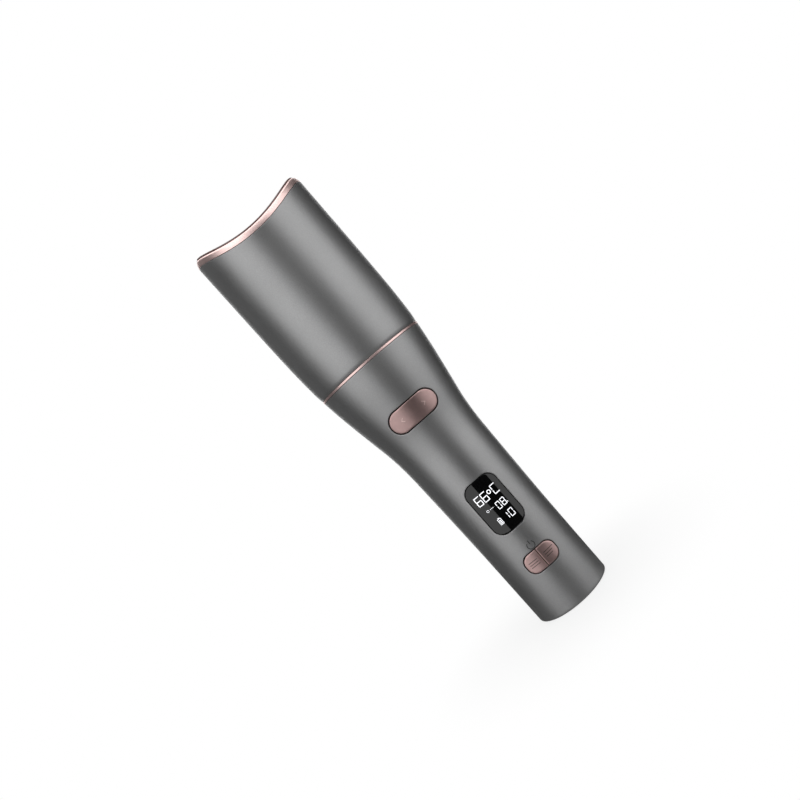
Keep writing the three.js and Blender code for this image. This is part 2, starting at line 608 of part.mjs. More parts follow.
function addBase() {
  const rim = handleInside(CASING_BOTTOM) - FIT;
  const rimInner = rim - BASE_RIM_WALL;
  const section = [
    [0, 0],
    [rim - BASE_BEVEL, 0],
    [rim, BASE_BEVEL],
    [rim, BASE_RIM_TOP],
    [rimInner, BASE_RIM_TOP],
    [rimInner, BASE_FLOOR],
    [0, BASE_FLOOR],
  ];
  const slot = roundedShape(USB_WIDTH + 2 * FIT, USB_DEPTH + 2 * FIT, USB_DEPTH / 2, SLOT_STEPS);
  let cap = turned(section).subtract(upPrism(slot, -OVERRUN, BASE_FLOOR + OVERRUN));
  const screwHeadZ = FIT;
  const headRoom = screwHeadZ + SCREW_HEAD_HEIGHT + FIT;
  const boardNotch = BOSS_RADIUS + FIT;
  const outline = turned([[0, 0], [rim, 0], [rim, CHARGE_BOARD_THICKNESS], [0, CHARGE_BOARD_THICKNESS]]);
  let board = outline.translate(0, 0, CHARGE_BOARD_Z);
  for (const side of [-1, 1]) {
    const x = side * BASE_SCREW_X;
    cap = cap
      .add(post(BOSS_RADIUS, JOINT_LINE, FRAME_BOTTOM - FIT, x, BASE_SCREW_Y))
      .subtract(post(SCREW_RADIUS + FIT, -OVERRUN, FRAME_BOTTOM + OVERRUN, x, BASE_SCREW_Y))
      .subtract(post(SCREW_HEAD_RADIUS + FIT, -OVERRUN, headRoom, x, BASE_SCREW_Y));
    board = board.subtract(
      post(boardNotch, CHARGE_BOARD_Z - OVERRUN, CHARGE_BOARD_Z + OVERRUN, x, BASE_SCREW_Y),
    );
    const name = side < 0 ? "base_screw_left" : "base_screw_right";
    const length = FRAME_BOTTOM + FRAME_FLOOR + SCREW_GRIP - 2 * FIT - screwHeadZ;
    piece(name, screwSolid(length), STEEL, [x, BASE_SCREW_Y, screwHeadZ], [Math.PI, 0, 0]);
  }
  piece("base_cap", cap, DARK_PLASTIC);
  piece("charge_board", board, BOARD_GREEN);

  const socketTop = CHARGE_BOARD_Z - FIT;
  const shellShape = roundedShape(USB_WIDTH, USB_DEPTH, USB_DEPTH / 2 - WELD, SLOT_STEPS);
  const hollow = roundedShape(
    USB_WIDTH - 2 * USB_WALL,
    USB_DEPTH - 2 * USB_WALL,
    USB_DEPTH / 2 - USB_WALL - WELD,
    SLOT_STEPS,
  );
  const tongueX = USB_TONGUE_WIDTH / 2;
  const tongueY = USB_TONGUE_DEPTH / 2;
  const socket = upPrism(shellShape, USB_RECESS, socketTop)
    .subtract(upPrism(hollow, -OVERRUN, socketTop - USB_WALL))
    .add(block(-tongueX, tongueX, -tongueY, tongueY, USB_RECESS + USB_WALL, socketTop));
  piece("usb_socket", socket, STEEL);
}

// ---- Chassis, battery and boards ----

function addChassis() {
  const plateHalf = Math.sqrt(FRAME_RADIUS ** 2 - PLATE_FRONT ** 2);
  const outer = post(FRAME_RADIUS, FRAME_BOTTOM, CELL_TOP, 0, 0, MEDIUM_ROUND);
  const inner = post(
    FRAME_RADIUS - FRAME_WALL,
    FRAME_BOTTOM + FRAME_FLOOR,
    CELL_TOP + OVERRUN,
    0,
    0,
    MEDIUM_ROUND,
  );
  const far = SEAM_RADIUS;
  const frontCut = block(-far, far, -far, PLATE_FRONT, 0, HANDLE_LENGTH);
  const pocketCut = block(-far, far, -far, PLATE_BACK, FRAME_BOTTOM + FRAME_FLOOR, CELL_TOP + OVERRUN);
  let frame = outer.subtract(inner.subtract(pocketCut)).subtract(frontCut);

  // The ribs keep their own thickness clear of both ends of the cell.
  const ribPitch = (CELL_LENGTH - 3 * RIB_THICKNESS) / (RIB_COUNT - 1);
  for (let rib = 0; rib < RIB_COUNT; rib += 1) {
    const bottom = CELL_BOTTOM + RIB_THICKNESS + rib * ribPitch;
    const disc = post(FRAME_RADIUS, bottom, bottom + RIB_THICKNESS, 0, 0, MEDIUM_ROUND);
    frame = frame.add(disc.subtract(frontCut));
  }
  const cellBottom = FRAME_BOTTOM + FRAME_FLOOR;
  frame = frame.subtract(
    post(CELL_RADIUS + FIT, cellBottom, CELL_TOP + OVERRUN, 0, CELL_Y, MEDIUM_ROUND),
  );

  // The front plate goes on up to the bulkhead, where its lug is screwed on.
  const lugTop = BULKHEAD_BOTTOM - FIT;
  const lugBottom = lugTop - LUG_HEIGHT;
  const lugFront = PLATE_BACK - LUG_DEPTH;
  const [left, right] = [-LUG_HALF_WIDTH, LUG_HALF_WIDTH];
  const plate = block(left, right, PLATE_FRONT, PLATE_BACK, CELL_TOP - SINK, lugTop);
  const lug = block(left, right, lugFront, PLATE_BACK, lugBottom, lugTop);
  frame = frame.add(plate).add(lug);
  frame = frame.add(
    block(-plateHalf, plateHalf, PLATE_FRONT, PLATE_BACK, FRAME_BOTTOM, CELL_TOP),
  );

  const screwBore = SCREW_RADIUS + FIT;
  for (const z of [BOARD_SCREW_LOWER_Z, BOARD_SCREW_UPPER_Z]) {
    frame = frame
      .add(pegY(POST_RADIUS, PLATE_FRONT - POST_HEIGHT, PLATE_BACK, 0, z))
      .subtract(pegY(screwBore, PLATE_FRONT - OVERRUN, PLATE_BACK + OVERRUN, 0, z));
  }
  const bossTop = FRAME_BOTTOM + FRAME_FLOOR + SCREW_GRIP;
  for (const side of [-1, 1]) {
    const x = side * BASE_SCREW_X;
    frame = frame
      .add(post(BOSS_RADIUS, FRAME_BOTTOM, bossTop, x, BASE_SCREW_Y))
      .subtract(post(screwBore, FRAME_BOTTOM - OVERRUN, bossTop + OVERRUN, x, BASE_SCREW_Y))
      .subtract(post(screwBore, lugBottom - OVERRUN, lugTop + OVERRUN, side * FRAME_SCREW_X, LUG_SCREW_Y));
  }
  frame = frame.intersect(post(FRAME_RADIUS, 0, HANDLE_LENGTH, 0, 0, MEDIUM_ROUND));
  piece("chassis_frame", frame, WHITE_PLASTIC);

  const can = post(CELL_RADIUS, CELL_BOTTOM, CELL_TOP - CELL_CAP_HEIGHT, 0, CELL_Y, MEDIUM_ROUND);
  const cap = post(CELL_CAP_RADIUS, CELL_TOP - CELL_CAP_HEIGHT - OVERRUN, CELL_TOP, 0, CELL_Y);
  piece("battery_cell", can.add(cap), CELL_WRAP);
  const tabHeights = { cell_tab_lower: CELL_BOTTOM - FIT - TAB_THICKNESS, cell_tab_upper: CELL_TOP + FIT };
  for (const [name, z] of Object.entries(tabHeights)) {
    const half = TAB_LENGTH / 2;
    const tab = block(-half, half, CELL_Y - TAB_WIDTH / 2, CELL_Y + TAB_WIDTH / 2, z, z + TAB_THICKNESS);
    piece(name, tab, NICKEL);
  }
}

function addBoard() {
  const screwBore = SCREW_RADIUS + FIT;
  let board = block(-BOARD_HALF_WIDTH, BOARD_HALF_WIDTH, BOARD_FRONT, BOARD_BACK, BOARD_BOTTOM, BOARD_TOP);
  const screws = { board_screw_lower: BOARD_SCREW_LOWER_Z, board_screw_upper: BOARD_SCREW_UPPER_Z };
  const length = BOARD_THICKNESS + POST_HEIGHT + PLATE_THICKNESS + FIT + SCREW_HEAD_HEIGHT;
  for (const [name, z] of Object.entries(screws)) {
    board = board.subtract(pegY(screwBore, BOARD_FRONT - OVERRUN, BOARD_BACK + OVERRUN, 0, z));
    const head = BOARD_FRONT - FIT / 2 - SCREW_HEAD_HEIGHT;
    piece(name, screwSolid(length), STEEL, [0, head, z], [Math.PI / 2, 0, 0]);
  }
  piece("main_board", board, BOARD_GREEN);

  const mountY = BOARD_FRONT - FIT;
  const buzzer = pegY(BUZZER_RADIUS, mountY - BUZZER_HEIGHT, mountY, 0, BUZZER_Z, MEDIUM_ROUND);
  const soundHole = pegY(SCREW_RADIUS, mountY - BUZZER_HEIGHT - OVERRUN, mountY - FIT, 0, BUZZER_Z);
  piece("buzzer", buzzer.subtract(soundHole), BLACK_PART);

  const lcdHalf = WINDOW_WIDTH / 2 - LCD_MARGIN;
  const lcdHalfHeight = WINDOW_HEIGHT / 2 - LCD_MARGIN;
  const lcdFront = -Math.sqrt((handleInside(WINDOW_Z - WINDOW_HEIGHT / 2) - FIT) ** 2 - lcdHalf ** 2);
  const lcdBack = lcdFront + LCD_THICKNESS;
  const panel = block(
    -lcdHalf,
    lcdHalf,
    lcdFront,
    lcdBack,
    WINDOW_Z - lcdHalfHeight,
    WINDOW_Z + lcdHalfHeight,
  );
  piece("lcd_panel", panel, BLACK_PART);
  const holder = block(
    -lcdHalf,
    lcdHalf,
    lcdBack + FIT,
    mountY,
    WINDOW_Z - lcdHalfHeight,
    WINDOW_Z + lcdHalfHeight,
  );
  const well = block(
    -lcdHalf + LCD_BEZEL,
    lcdHalf - LCD_BEZEL,
    lcdBack - OVERRUN,
    mountY - FRAME_WALL,
    WINDOW_Z - lcdHalfHeight + LCD_BEZEL,
    WINDOW_Z + lcdHalfHeight - LCD_BEZEL,
  );
  piece("lcd_holder", holder.subtract(well), WHITE_PLASTIC);

  const keyX = KEY_WIDTH / 4;
  const switches = {
    power_switch: [-keyX, KEY_Z],
    set_switch: [keyX, KEY_Z],
    rocker_switch_left: [-ROCKER_SWITCH_X, ROCKER_Z],
    rocker_switch_right: [ROCKER_SWITCH_X, ROCKER_Z],
  };
  const half = SWITCH_SIZE / 2;
  for (const [name, [x, z]] of Object.entries(switches)) {
    const body = block(x - half, x + half, mountY - SWITCH_HEIGHT, mountY, z - half, z + half);
    const top = mountY - SWITCH_HEIGHT - SWITCH_CAP_HEIGHT;
    const cap = pegY(SWITCH_CAP_RADIUS, top, mountY - FIT, x, z);
    piece(name, body.add(cap), BLACK_PART);
  }
}

// ---- Buttons ----

function addKeys() {
  const switchTop = BOARD_FRONT - FIT - SWITCH_HEIGHT - SWITCH_CAP_HEIGHT;
  const stemEnd = switchTop - KEY_TRAVEL - STEM_CLEARANCE;
  const whole = roundedShape(KEY_WIDTH, KEY_HEIGHT, KEY_CORNER);
  const flangeShape = roundedShape(KEY_WIDTH + 2 * KEY_FLANGE, KEY_HEIGHT + 2 * KEY_FLANGE, KEY_CORNER);
  const flangeOuter = -HANDLE_WALL - FIT;
  const face = skinPad(whole, KEY_Z, KEY_HEIGHT / 2, -KEY_DEPTH, KEY_PROUD);
  const flangeInner = flangeOuter - KEY_FLANGE_THICKNESS;
  const flange = skinPad(flangeShape, KEY_Z, KEY_HEIGHT / 2 + KEY_FLANGE, flangeInner, flangeOuter);
  const both = face.add(flange);
  const reach = KEY_WIDTH;
  for (const [name, side] of [["power_button", -1], ["set_button", 1]]) {
    const [x0, x1] = side < 0 ? [-reach, -KEY_GAP / 2] : [KEY_GAP / 2, reach];
    const half = both.intersect(block(x0, x1, -SEAM_RADIUS, 0, 0, HANDLE_LENGTH));
    const stemFront = -handleInside(KEY_Z) + KEY_FLANGE_THICKNESS;
    const stem = pegY(STEM_RADIUS, stemFront, stemEnd, (side * KEY_WIDTH) / 4, KEY_Z);
    piece(name, half.add(stem), ROSE_GOLD);
  }
}

function addRocker() {
  const shape = roundedShape(ROCKER_WIDTH, ROCKER_HEIGHT, ROCKER_HEIGHT / 2 - WELD);
  let rocker = skinPad(shape, ROCKER_Z, ROCKER_HEIGHT / 2, -ROCKER_DEPTH, ROCKER_PROUD);
  const backOfFace = -handleRadius(ROCKER_Z) + ROCKER_DEPTH;
  const ribBack = ROCKER_PIN_Y + ROCKER_RIB_HALF_WIDTH;
  const rib = block(
    -ROCKER_RIB_HALF_WIDTH,
    ROCKER_RIB_HALF_WIDTH,
    backOfFace - SINK,
    ribBack,
    ROCKER_Z - ROCKER_RIB_HALF_HEIGHT,
    ROCKER_Z + ROCKER_RIB_HALF_HEIGHT,
  );
  rocker = rocker.add(rib);
  const switchTop = BOARD_FRONT - FIT - SWITCH_HEIGHT - SWITCH_CAP_HEIGHT;
  const swing = ROCKER_SWITCH_X * Math.sin(THREE.MathUtils.degToRad(ROCKER_TILT));
  for (const side of [-1, 1]) {
    const x = side * ROCKER_SWITCH_X;
    const faceY = -Math.sqrt(handleRadius(ROCKER_Z) ** 2 - x * x) + HANDLE_WALL;
    rocker = rocker.add(pegY(STEM_RADIUS, faceY, switchTop - swing - STEM_CLEARANCE, x, ROCKER_Z));
  }
  const pinHalf = ROCKER_RIB_HALF_HEIGHT + FIT + EAR_THICKNESS;
  const boreRadius = ROCKER_PIN_RADIUS + FIT;
  rocker = rocker.subtract(
    post(boreRadius, ROCKER_Z - pinHalf, ROCKER_Z + pinHalf, 0, ROCKER_PIN_Y),
  );
  piece("direction_rocker", rocker, ROSE_GOLD);
  const pin = post(ROCKER_PIN_RADIUS, ROCKER_Z - pinHalf, ROCKER_Z + pinHalf, 0, ROCKER_PIN_Y);
  piece("rocker_pin", pin, STEEL);

  const backY = BOARD_FRONT - FIT;
  const strap = block(
    -EAR_HALF_WIDTH,
    EAR_HALF_WIDTH,
    backY - EAR_THICKNESS,
    backY,
    ROCKER_Z - pinHalf,
    ROCKER_Z + pinHalf,
  );
  let bracket = strap;
  for (const side of [-1, 1]) {
    const inner = ROCKER_Z + side * (ROCKER_RIB_HALF_HEIGHT + FIT);
    const outer = ROCKER_Z + side * pinHalf;
    const [z0, z1] = side < 0 ? [outer, inner] : [inner, outer];
    bracket = bracket.add(
      block(-EAR_HALF_WIDTH, EAR_HALF_WIDTH, ROCKER_PIN_Y - boreRadius - EAR_LIP, backY, z0, z1),
    );
  }
  bracket = bracket.subtract(
    post(boreRadius, ROCKER_Z - pinHalf - OVERRUN, ROCKER_Z + pinHalf + OVERRUN, 0, ROCKER_PIN_Y),
  );
  piece("rocker_bracket", bracket, BLACK_PART);
}

// ---- Bulkhead, motor and gears ----

function addBulkhead() {
  const section = [
    [0, BULKHEAD_BOTTOM],
    [handleInside(BULKHEAD_BOTTOM) - FIT, BULKHEAD_BOTTOM],
    [SPIGOT_RADIUS, HANDLE_LENGTH],
    [SPIGOT_RADIUS, SPIGOT_TOP],
    [SPIGOT_RADIUS - SPIGOT_WALL, SPIGOT_TOP],
    [SPIGOT_RADIUS - SPIGOT_WALL, BULKHEAD_TOP],
    [0, BULKHEAD_TOP],
  ];
  const [low, high] = [BULKHEAD_BOTTOM - OVERRUN, BULKHEAD_TOP + OVERRUN];
  const screwBore = SCREW_RADIUS + FIT;
  let bulkhead = turned(section)
    .subtract(post(STEM_BORE, low, high, 0, 0, MEDIUM_ROUND))
    .subtract(post(SHAFT_RADIUS + 2 * FIT, low, high, 0, MOTOR_Y));
  const footTop = BULKHEAD_TOP + FIT + FOOT_THICKNESS;
  const screws = [
    ["motor_screw", MOTOR_SCREW_X, MOTOR_Y, BULKHEAD_TOP, BULKHEAD_THICKNESS + SCREW_GRIP],
    ["frame_screw", FRAME_SCREW_X, LUG_SCREW_Y, BULKHEAD_TOP, BULKHEAD_THICKNESS + SCREW_GRIP],
    ["foot_screw", FOOT_SCREW_X, FOOT_SCREW_Y, footTop, FOOT_THICKNESS + FOOT_SCREW_GRIP],
  ];
  for (const [name, x, y, seat, grip] of screws) {
    for (const side of [-1, 1]) {
      bulkhead = bulkhead.subtract(post(screwBore, low, high, side * x, y));
      const top = seat + FIT / 2 + SCREW_HEAD_HEIGHT;
      const sideName = side < 0 ? "left" : "right";
      piece(`${name}_${sideName}`, screwSolid(grip + SCREW_HEAD_HEIGHT), STEEL, [side * x, y, top]);
    }
  }
  piece("bulkhead", bulkhead, DARK_PLASTIC);
}

function addDrive() {
  const can = post(MOTOR_RADIUS, MOTOR_BOTTOM, MOTOR_TOP, 0, MOTOR_Y, MEDIUM_ROUND);
  const boss = post(MOTOR_BOSS_RADIUS, MOTOR_BOTTOM - MOTOR_BOSS_HEIGHT, MOTOR_BOTTOM + FIT, 0, MOTOR_Y);
  piece("drive_motor", can.add(boss), STEEL);

  const shaftBottom = GEARBOX_TOP - SHAFT_SOCKET;
  let gearbox = post(GEARBOX_RADIUS, GEARBOX_TOP - GEARBOX_LENGTH, GEARBOX_TOP, 0, MOTOR_Y, MEDIUM_ROUND);
  gearbox = gearbox.subtract(
    post(SHAFT_RADIUS + FIT, shaftBottom - FIT, GEARBOX_TOP + OVERRUN, 0, MOTOR_Y),
  );
  for (const side of [-1, 1]) {
    const boreBottom = GEARBOX_TOP - SCREW_GRIP - SINK;
    gearbox = gearbox.subtract(
      post(SCREW_RADIUS + FIT, boreBottom, GEARBOX_TOP + OVERRUN, side * MOTOR_SCREW_X, MOTOR_Y),
    );
  }
  piece("gearbox", gearbox, STEEL);
  piece("output_shaft", post(SHAFT_RADIUS, shaftBottom, PINION_TOP, 0, MOTOR_Y), STEEL);

  const pinionShape = new THREE.Shape(
    gearPoints(PINION_TEETH, PINION_PITCH - TOOTH_ROOT, PINION_PITCH + TOOTH_TOP, 0),
  );
  const pinion = upPrism(pinionShape, GEAR_BOTTOM, PINION_TOP)
    .subtract(post(SHAFT_RADIUS + FIT, GEAR_BOTTOM - OVERRUN, GEAR_TOP + OVERRUN))
    .translate(0, MOTOR_Y, 0);
  piece("drive_pinion", pinion, BRASS);

  // The ring's teeth start half a pitch round, so that a gap faces the pinion.
  const halfPitch = Math.PI / RING_TEETH;
  const toothed = new THREE.Shape(
    gearPoints(RING_TEETH, RING_PITCH + TOOTH_ROOT, RING_PITCH - TOOTH_TOP, halfPitch),
  );
  const ringGear = post(RING_GEAR_RADIUS, GEAR_BOTTOM, GEAR_TOP, 0, 0, ROUND).subtract(
    upPrism(toothed, GEAR_BOTTOM - OVERRUN, GEAR_TOP + OVERRUN),
  );
  piece("rotor_ring_gear", ringGear, WHITE_PLASTIC);
}

function addRotor() {
  const skirtOuter = SKIRT_INNER + ROTOR_SKIRT_WALL;
  const webRadius = Math.max(ARM_OUTER_RADIUS, skirtOuter);
  const section = [
    [HUB_BORE, WEB_BOTTOM],
    [SKIRT_INNER, WEB_BOTTOM],
    [SKIRT_INNER, GEAR_BOTTOM],
    [skirtOuter, GEAR_BOTTOM],
    [skirtOuter, WEB_BOTTOM],
    [webRadius, WEB_BOTTOM],
    [webRadius, WEB_TOP],
    [HUB_BORE + ROTOR_HUB_WALL, WEB_TOP],
    [HUB_BORE + ROTOR_HUB_WALL, HUB_TOP],
    [HUB_BORE, HUB_TOP],
  ];
  let rotor = turned(section);
  const armInner = ARM_OUTER_RADIUS - ARM_THICKNESS;
  const armRing = pipe(ARM_OUTER_RADIUS, armInner, WEB_TOP - FIT, ARM_TOP, ROUND);
  const hookRing = pipe(ARM_OUTER_RADIUS, armInner - HOOK_REACH, ARM_TOP - HOOK_HEIGHT, ARM_TOP, ROUND);
  for (const angle of ARM_ANGLES) {
    const half = Math.tan(THREE.MathUtils.degToRad(ARM_HALF_ANGLE)) * ARM_OUTER_RADIUS;
    const turn = THREE.MathUtils.degToRad(angle);
    const wedge = new THREE.Shape([
      new THREE.Vector2(0, 0),
      new THREE.Vector2(-half, -ARM_OUTER_RADIUS - OVERRUN),
      new THREE.Vector2(half, -ARM_OUTER_RADIUS - OVERRUN),
    ]);
    const geometry = new THREE.ExtrudeGeometry(wedge, { depth: ARM_TOP, bevelEnabled: false });
    rotor = rotor.add(armRing.add(hookRing).intersect(solidOf(geometry.rotateZ(turn))));
  }
  piece("hair_rotor", rotor, DARK_PLASTIC);

  const bush = [
    [BUSH_BORE, BUSH_FLANGE_BOTTOM],
    [BUSH_FLANGE_RADIUS, BUSH_FLANGE_BOTTOM],
    [BUSH_FLANGE_RADIUS, BUSH_FLANGE_BOTTOM + BUSH_FLANGE],
    [BUSH_RADIUS, BUSH_FLANGE_BOTTOM + BUSH_FLANGE],
    [BUSH_RADIUS, HUB_TOP],
    [BUSH_BORE, HUB_TOP],
  ];
  piece("rotor_bushing", turned(bush, MEDIUM_ROUND), BRASS);

  const turn = THREE.MathUtils.degToRad(MAGNET_ANGLE);
  const inner = skirtOuter + FIT;
  const half = MAGNET_SIZE / 2;
  const magnetTop = WEB_BOTTOM - FIT;
  const magnetBottom = magnetTop - MAGNET_SIZE;
  const magnet = block(-half, half, -inner - MAGNET_DEPTH, -inner, magnetBottom, magnetTop);
  piece("home_magnet", magnet, NICKEL, [0, 0, 0], [0, 0, turn]);
  const sensorBottom = BULKHEAD_TOP + FIT;
  const sensorTop = sensorBottom + HALL_HEIGHT;
  const sensor = block(-half, half, -inner - MAGNET_DEPTH, -inner, sensorBottom, sensorTop);
  piece("home_sensor", sensor, BLACK_PART, [0, 0, 0], [0, 0, turn]);
}

// ---- Heated barrel ----

function addHeatedBarrel() {
  const footBottom = BULKHEAD_TOP + FIT;
  const footTop = footBottom + FOOT_THICKNESS;
  let stem = turned(
    [
      [STEM_BORE, footBottom],
      [FOOT_RADIUS, footBottom],
      [FOOT_RADIUS, footTop],
      [STEM_TUBE_RADIUS, footTop],
      [STEM_TUBE_RADIUS, STEM_TOP],
      [STEM_BORE, STEM_TOP],
    ],
    MEDIUM_ROUND,
  );
  for (const side of [-1, 1]) {
    stem = stem.subtract(
      post(SCREW_RADIUS + FIT, footBottom - OVERRUN, footTop + OVERRUN, side * FOOT_SCREW_X, FOOT_SCREW_Y),
    );
  }
  piece("barrel_stem", stem, STEEL);

  const plugRadius = BARREL_INSIDE - FIT;
  const collarTop = COLLAR_BOTTOM + COLLAR_THICKNESS;
  const base = [
    [BUSH_BORE, COLLAR_BOTTOM],
    [BARREL_RADIUS, COLLAR_BOTTOM],
    [BARREL_RADIUS, collarTop],
    [plugRadius, collarTop],
    [plugRadius, BARREL_BOTTOM + PLUG_LENGTH],
    [BUSH_BORE, BARREL_BOTTOM + PLUG_LENGTH],
  ];
  piece("barrel_base", turned(base, MEDIUM_ROUND), WHITE_PLASTIC);
  const barrel = pipe(BARREL_RADIUS, BARREL_INSIDE, BARREL_BOTTOM, BARREL_TOP, ROUND);
  piece("heated_barrel", barrel, CERAMIC);

  const tipBottom = BARREL_TOP + FIT;
  const tip = [
    [0, BARREL_TOP - PLUG_LENGTH],
    [plugRadius, BARREL_TOP - PLUG_LENGTH],
    [plugRadius, tipBottom],
    [BARREL_RADIUS, tipBottom],
    [BARREL_RADIUS, tipBottom + TIP_HEIGHT - TIP_CROWN],
    [BARREL_RADIUS - TIP_CROWN, tipBottom + TIP_HEIGHT],
    [0, tipBottom + TIP_HEIGHT],
  ];
  piece("barrel_tip", turned(tip, MEDIUM_ROUND), DARK_PLASTIC);

  const halfPlate = HEATER_THICKNESS / 2;
  const halfWidth = HEATER_WIDTH / 2;
  const plate = block(-halfWidth, halfWidth, -halfPlate, halfPlate, HEATER_BOTTOM, HEATER_TOP);
  piece("heater_plate", plate, WHITE_PLASTIC);
  const spreaders = [
    ["heat_spreader_front", -1, "thermistor", THERMISTOR_RADIUS],
    ["heat_spreader_rear", 1, "thermal_fuse", FUSE_RADIUS],
  ];
  const core = post(SPREADER_RADIUS, HEATER_BOTTOM, HEATER_TOP, 0, 0, MEDIUM_ROUND);
  for (const [name, side, sensorName, radius] of spreaders) {
    const flat = halfPlate + FIT;
    const [y0, y1] = side < 0 ? [-BARREL_RADIUS, -flat] : [flat, BARREL_RADIUS];
    const half = core.intersect(block(-BARREL_RADIUS, BARREL_RADIUS, y0, y1, 0, MOUTH_TOP));
    const sensorY = side * SENSOR_BORE_Y;
    const sensorBottom = HEATER_TOP - SENSOR_LENGTH;
    const bore = post(radius + FIT, sensorBottom - FIT, MOUTH_TOP, 0, sensorY);
    piece(name, half.subtract(bore), ALUMINIUM);
    piece(sensorName, post(radius, sensorBottom, HEATER_TOP, 0, sensorY), BLACK_PART);
  }
}

// ---- Leads ----

function addLeads() {
  const alongPlate = PLATE_BACK + LEAD_RADIUS + FIT;
  const heaterLead = [
    [0, alongPlate, MOTOR_BOTTOM + LEAD_ABOVE_MOTOR],
    [0, alongPlate, MOTOR_TOP],
    [0, PLATE_BACK / 2, GEARBOX_TOP - GEARBOX_LENGTH / 2],
    [0, 0, BULKHEAD_BOTTOM],
    [0, 0, GEAR_TOP],
    [0, 0, HEATER_BOTTOM - FIT],
  ];
  piece("heater_lead", lead(heaterLead), RED_SILICONE);
}

addChamber();
addHandle();
addBase();
addChassis();
addBoard();
addKeys();
addRocker();
addBulkhead();
addDrive();
addRotor();
addHeatedBarrel();
addLeads();

export default model;
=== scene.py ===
"""The looks of a cordless automatic hair curler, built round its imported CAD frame.

Metres, +Z up from the flat base to the mouth, and the keys face -Y. Angles about +Z start at -Y.
"""

import json
import math

import bmesh
import bpy
from mathutils import Matrix, Vector
from mathutils.geometry import delaunay_2d_cdt


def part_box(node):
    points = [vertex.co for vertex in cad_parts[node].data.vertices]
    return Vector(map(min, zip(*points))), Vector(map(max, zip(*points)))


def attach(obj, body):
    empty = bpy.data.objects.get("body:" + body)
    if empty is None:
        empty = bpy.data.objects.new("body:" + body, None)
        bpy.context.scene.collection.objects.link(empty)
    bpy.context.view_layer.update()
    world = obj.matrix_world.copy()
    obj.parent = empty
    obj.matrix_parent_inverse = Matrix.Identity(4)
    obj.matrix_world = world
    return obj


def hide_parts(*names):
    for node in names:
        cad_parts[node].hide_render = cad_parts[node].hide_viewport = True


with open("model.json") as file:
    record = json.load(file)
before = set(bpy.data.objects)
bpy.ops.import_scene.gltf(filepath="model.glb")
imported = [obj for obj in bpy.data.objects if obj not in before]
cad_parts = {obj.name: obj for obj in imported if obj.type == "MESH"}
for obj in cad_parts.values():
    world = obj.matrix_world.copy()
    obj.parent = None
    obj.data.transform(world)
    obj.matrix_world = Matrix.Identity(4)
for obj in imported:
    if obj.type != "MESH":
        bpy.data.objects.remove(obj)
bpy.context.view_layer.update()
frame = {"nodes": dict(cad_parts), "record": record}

MM = 0.001
AROUND = 240  # sides of the fine casings
ARC_RADIUS = 20 * MM  # turns an angle on the handle into a flat length, to lay out its mesh

# ---- Sizes that the frame doesn't give by itself ----
CHAMBER_WALL = 1.6 * MM
LINER_GAP = 0.3 * MM
LINER_WALL = 1.0 * MM
HANDLE_WALL = 1.8 * MM
TRIM_HEIGHT = 2.9 * MM
TRIM_INSET = 1.5 * MM
LIP_HEIGHT = 0.7 * MM
LIP_SKIRT = 5 * MM
LIP_WALL = 0.8 * MM
SEAM_WIDTH = 1.6 * MM
JOINT_LINE = 0.1 * MM
WINDOW_CORNER = 4.6 * MM
WINDOW_GAP = 0.28 * MM
KEY_CORNER = 3.6 * MM
KEY_FLANGE = 0.8 * MM
KEY_GAP = 0.34 * MM
KEY_SPLIT = 0.3 * MM
KEY_PROUD = 0.3 * MM
ROCKER_GAP = 0.42 * MM
ROCKER_PROUD = 0.25 * MM
PAD_DEPTH = 2.4 * MM
MARK_PROUD = 0.02 * MM
MARK_DEPTH = 0.12 * MM


# ---- Outlines read from the frame ----

def stations(node, keep):
    """(height, radius) of a turned CAD node's outer skin, lowest first."""
    mesh = frame["nodes"][node].data
    found = {}
    for face in mesh.polygons:
        centre = face.center
        outward = Vector((centre.x, centre.y, 0)).normalized()
        if face.normal.dot(outward) < 0.5:
            continue
        for index in face.vertices:
            x, y, z = mesh.vertices[index].co
            if keep(x, y):
                level = round(z, 5)
                found[level] = max(found.get(level, 0), math.hypot(x, y))
    return sorted(found.items())


def smooth_through(points):
    """A smooth function through (place, value) points: cubic pieces that follow the neighbours."""
    last = len(points) - 1

    def slope(i):
        (x0, y0), (x1, y1) = points[max(i - 1, 0)], points[min(i + 1, last)]
        return (y1 - y0) / (x1 - x0)

    def value(place):
        i = 1
        while i < last and place > points[i][0]:
            i += 1
        (x0, y0), (x1, y1) = points[i - 1], points[i]
        span = x1 - x0
        t = min(max((place - x0) / span, 0), 1)
        rise = t * t * (3 - 2 * t)
        bend = t * (1 - t) ** 2 * slope(i - 1) + t * t * (t - 1) * slope(i)
        return y0 + (y1 - y0) * rise + span * bend

    return value


handle_radius = smooth_through(stations("handle_rear_shell", lambda x, y: True))
chamber_radius = smooth_through(stations("barrel_housing", lambda x, y: abs(y) < 1e-5))

BASE_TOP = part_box("handle_rear_shell")[0].z
HANDLE_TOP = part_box("handle_rear_shell")[1].z
CHAMBER_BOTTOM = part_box("barrel_housing")[0].z
MOUTH_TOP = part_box("mouth_lip")[1].z
FRONT_RIM = [v.co for v in frame["nodes"]["mouth_lip"].data.vertices if abs(v.co.x) < 1e-5]
WAVE_DEPTH = MOUTH_TOP - max(co.z for co in FRONT_RIM)


def rim(angle):
    """Height of the mouth's edge: peaks at the sides, dips at the front and rear."""
    return MOUTH_TOP - WAVE_DEPTH * math.cos(angle) ** 2


# ---- Mesh tools ----

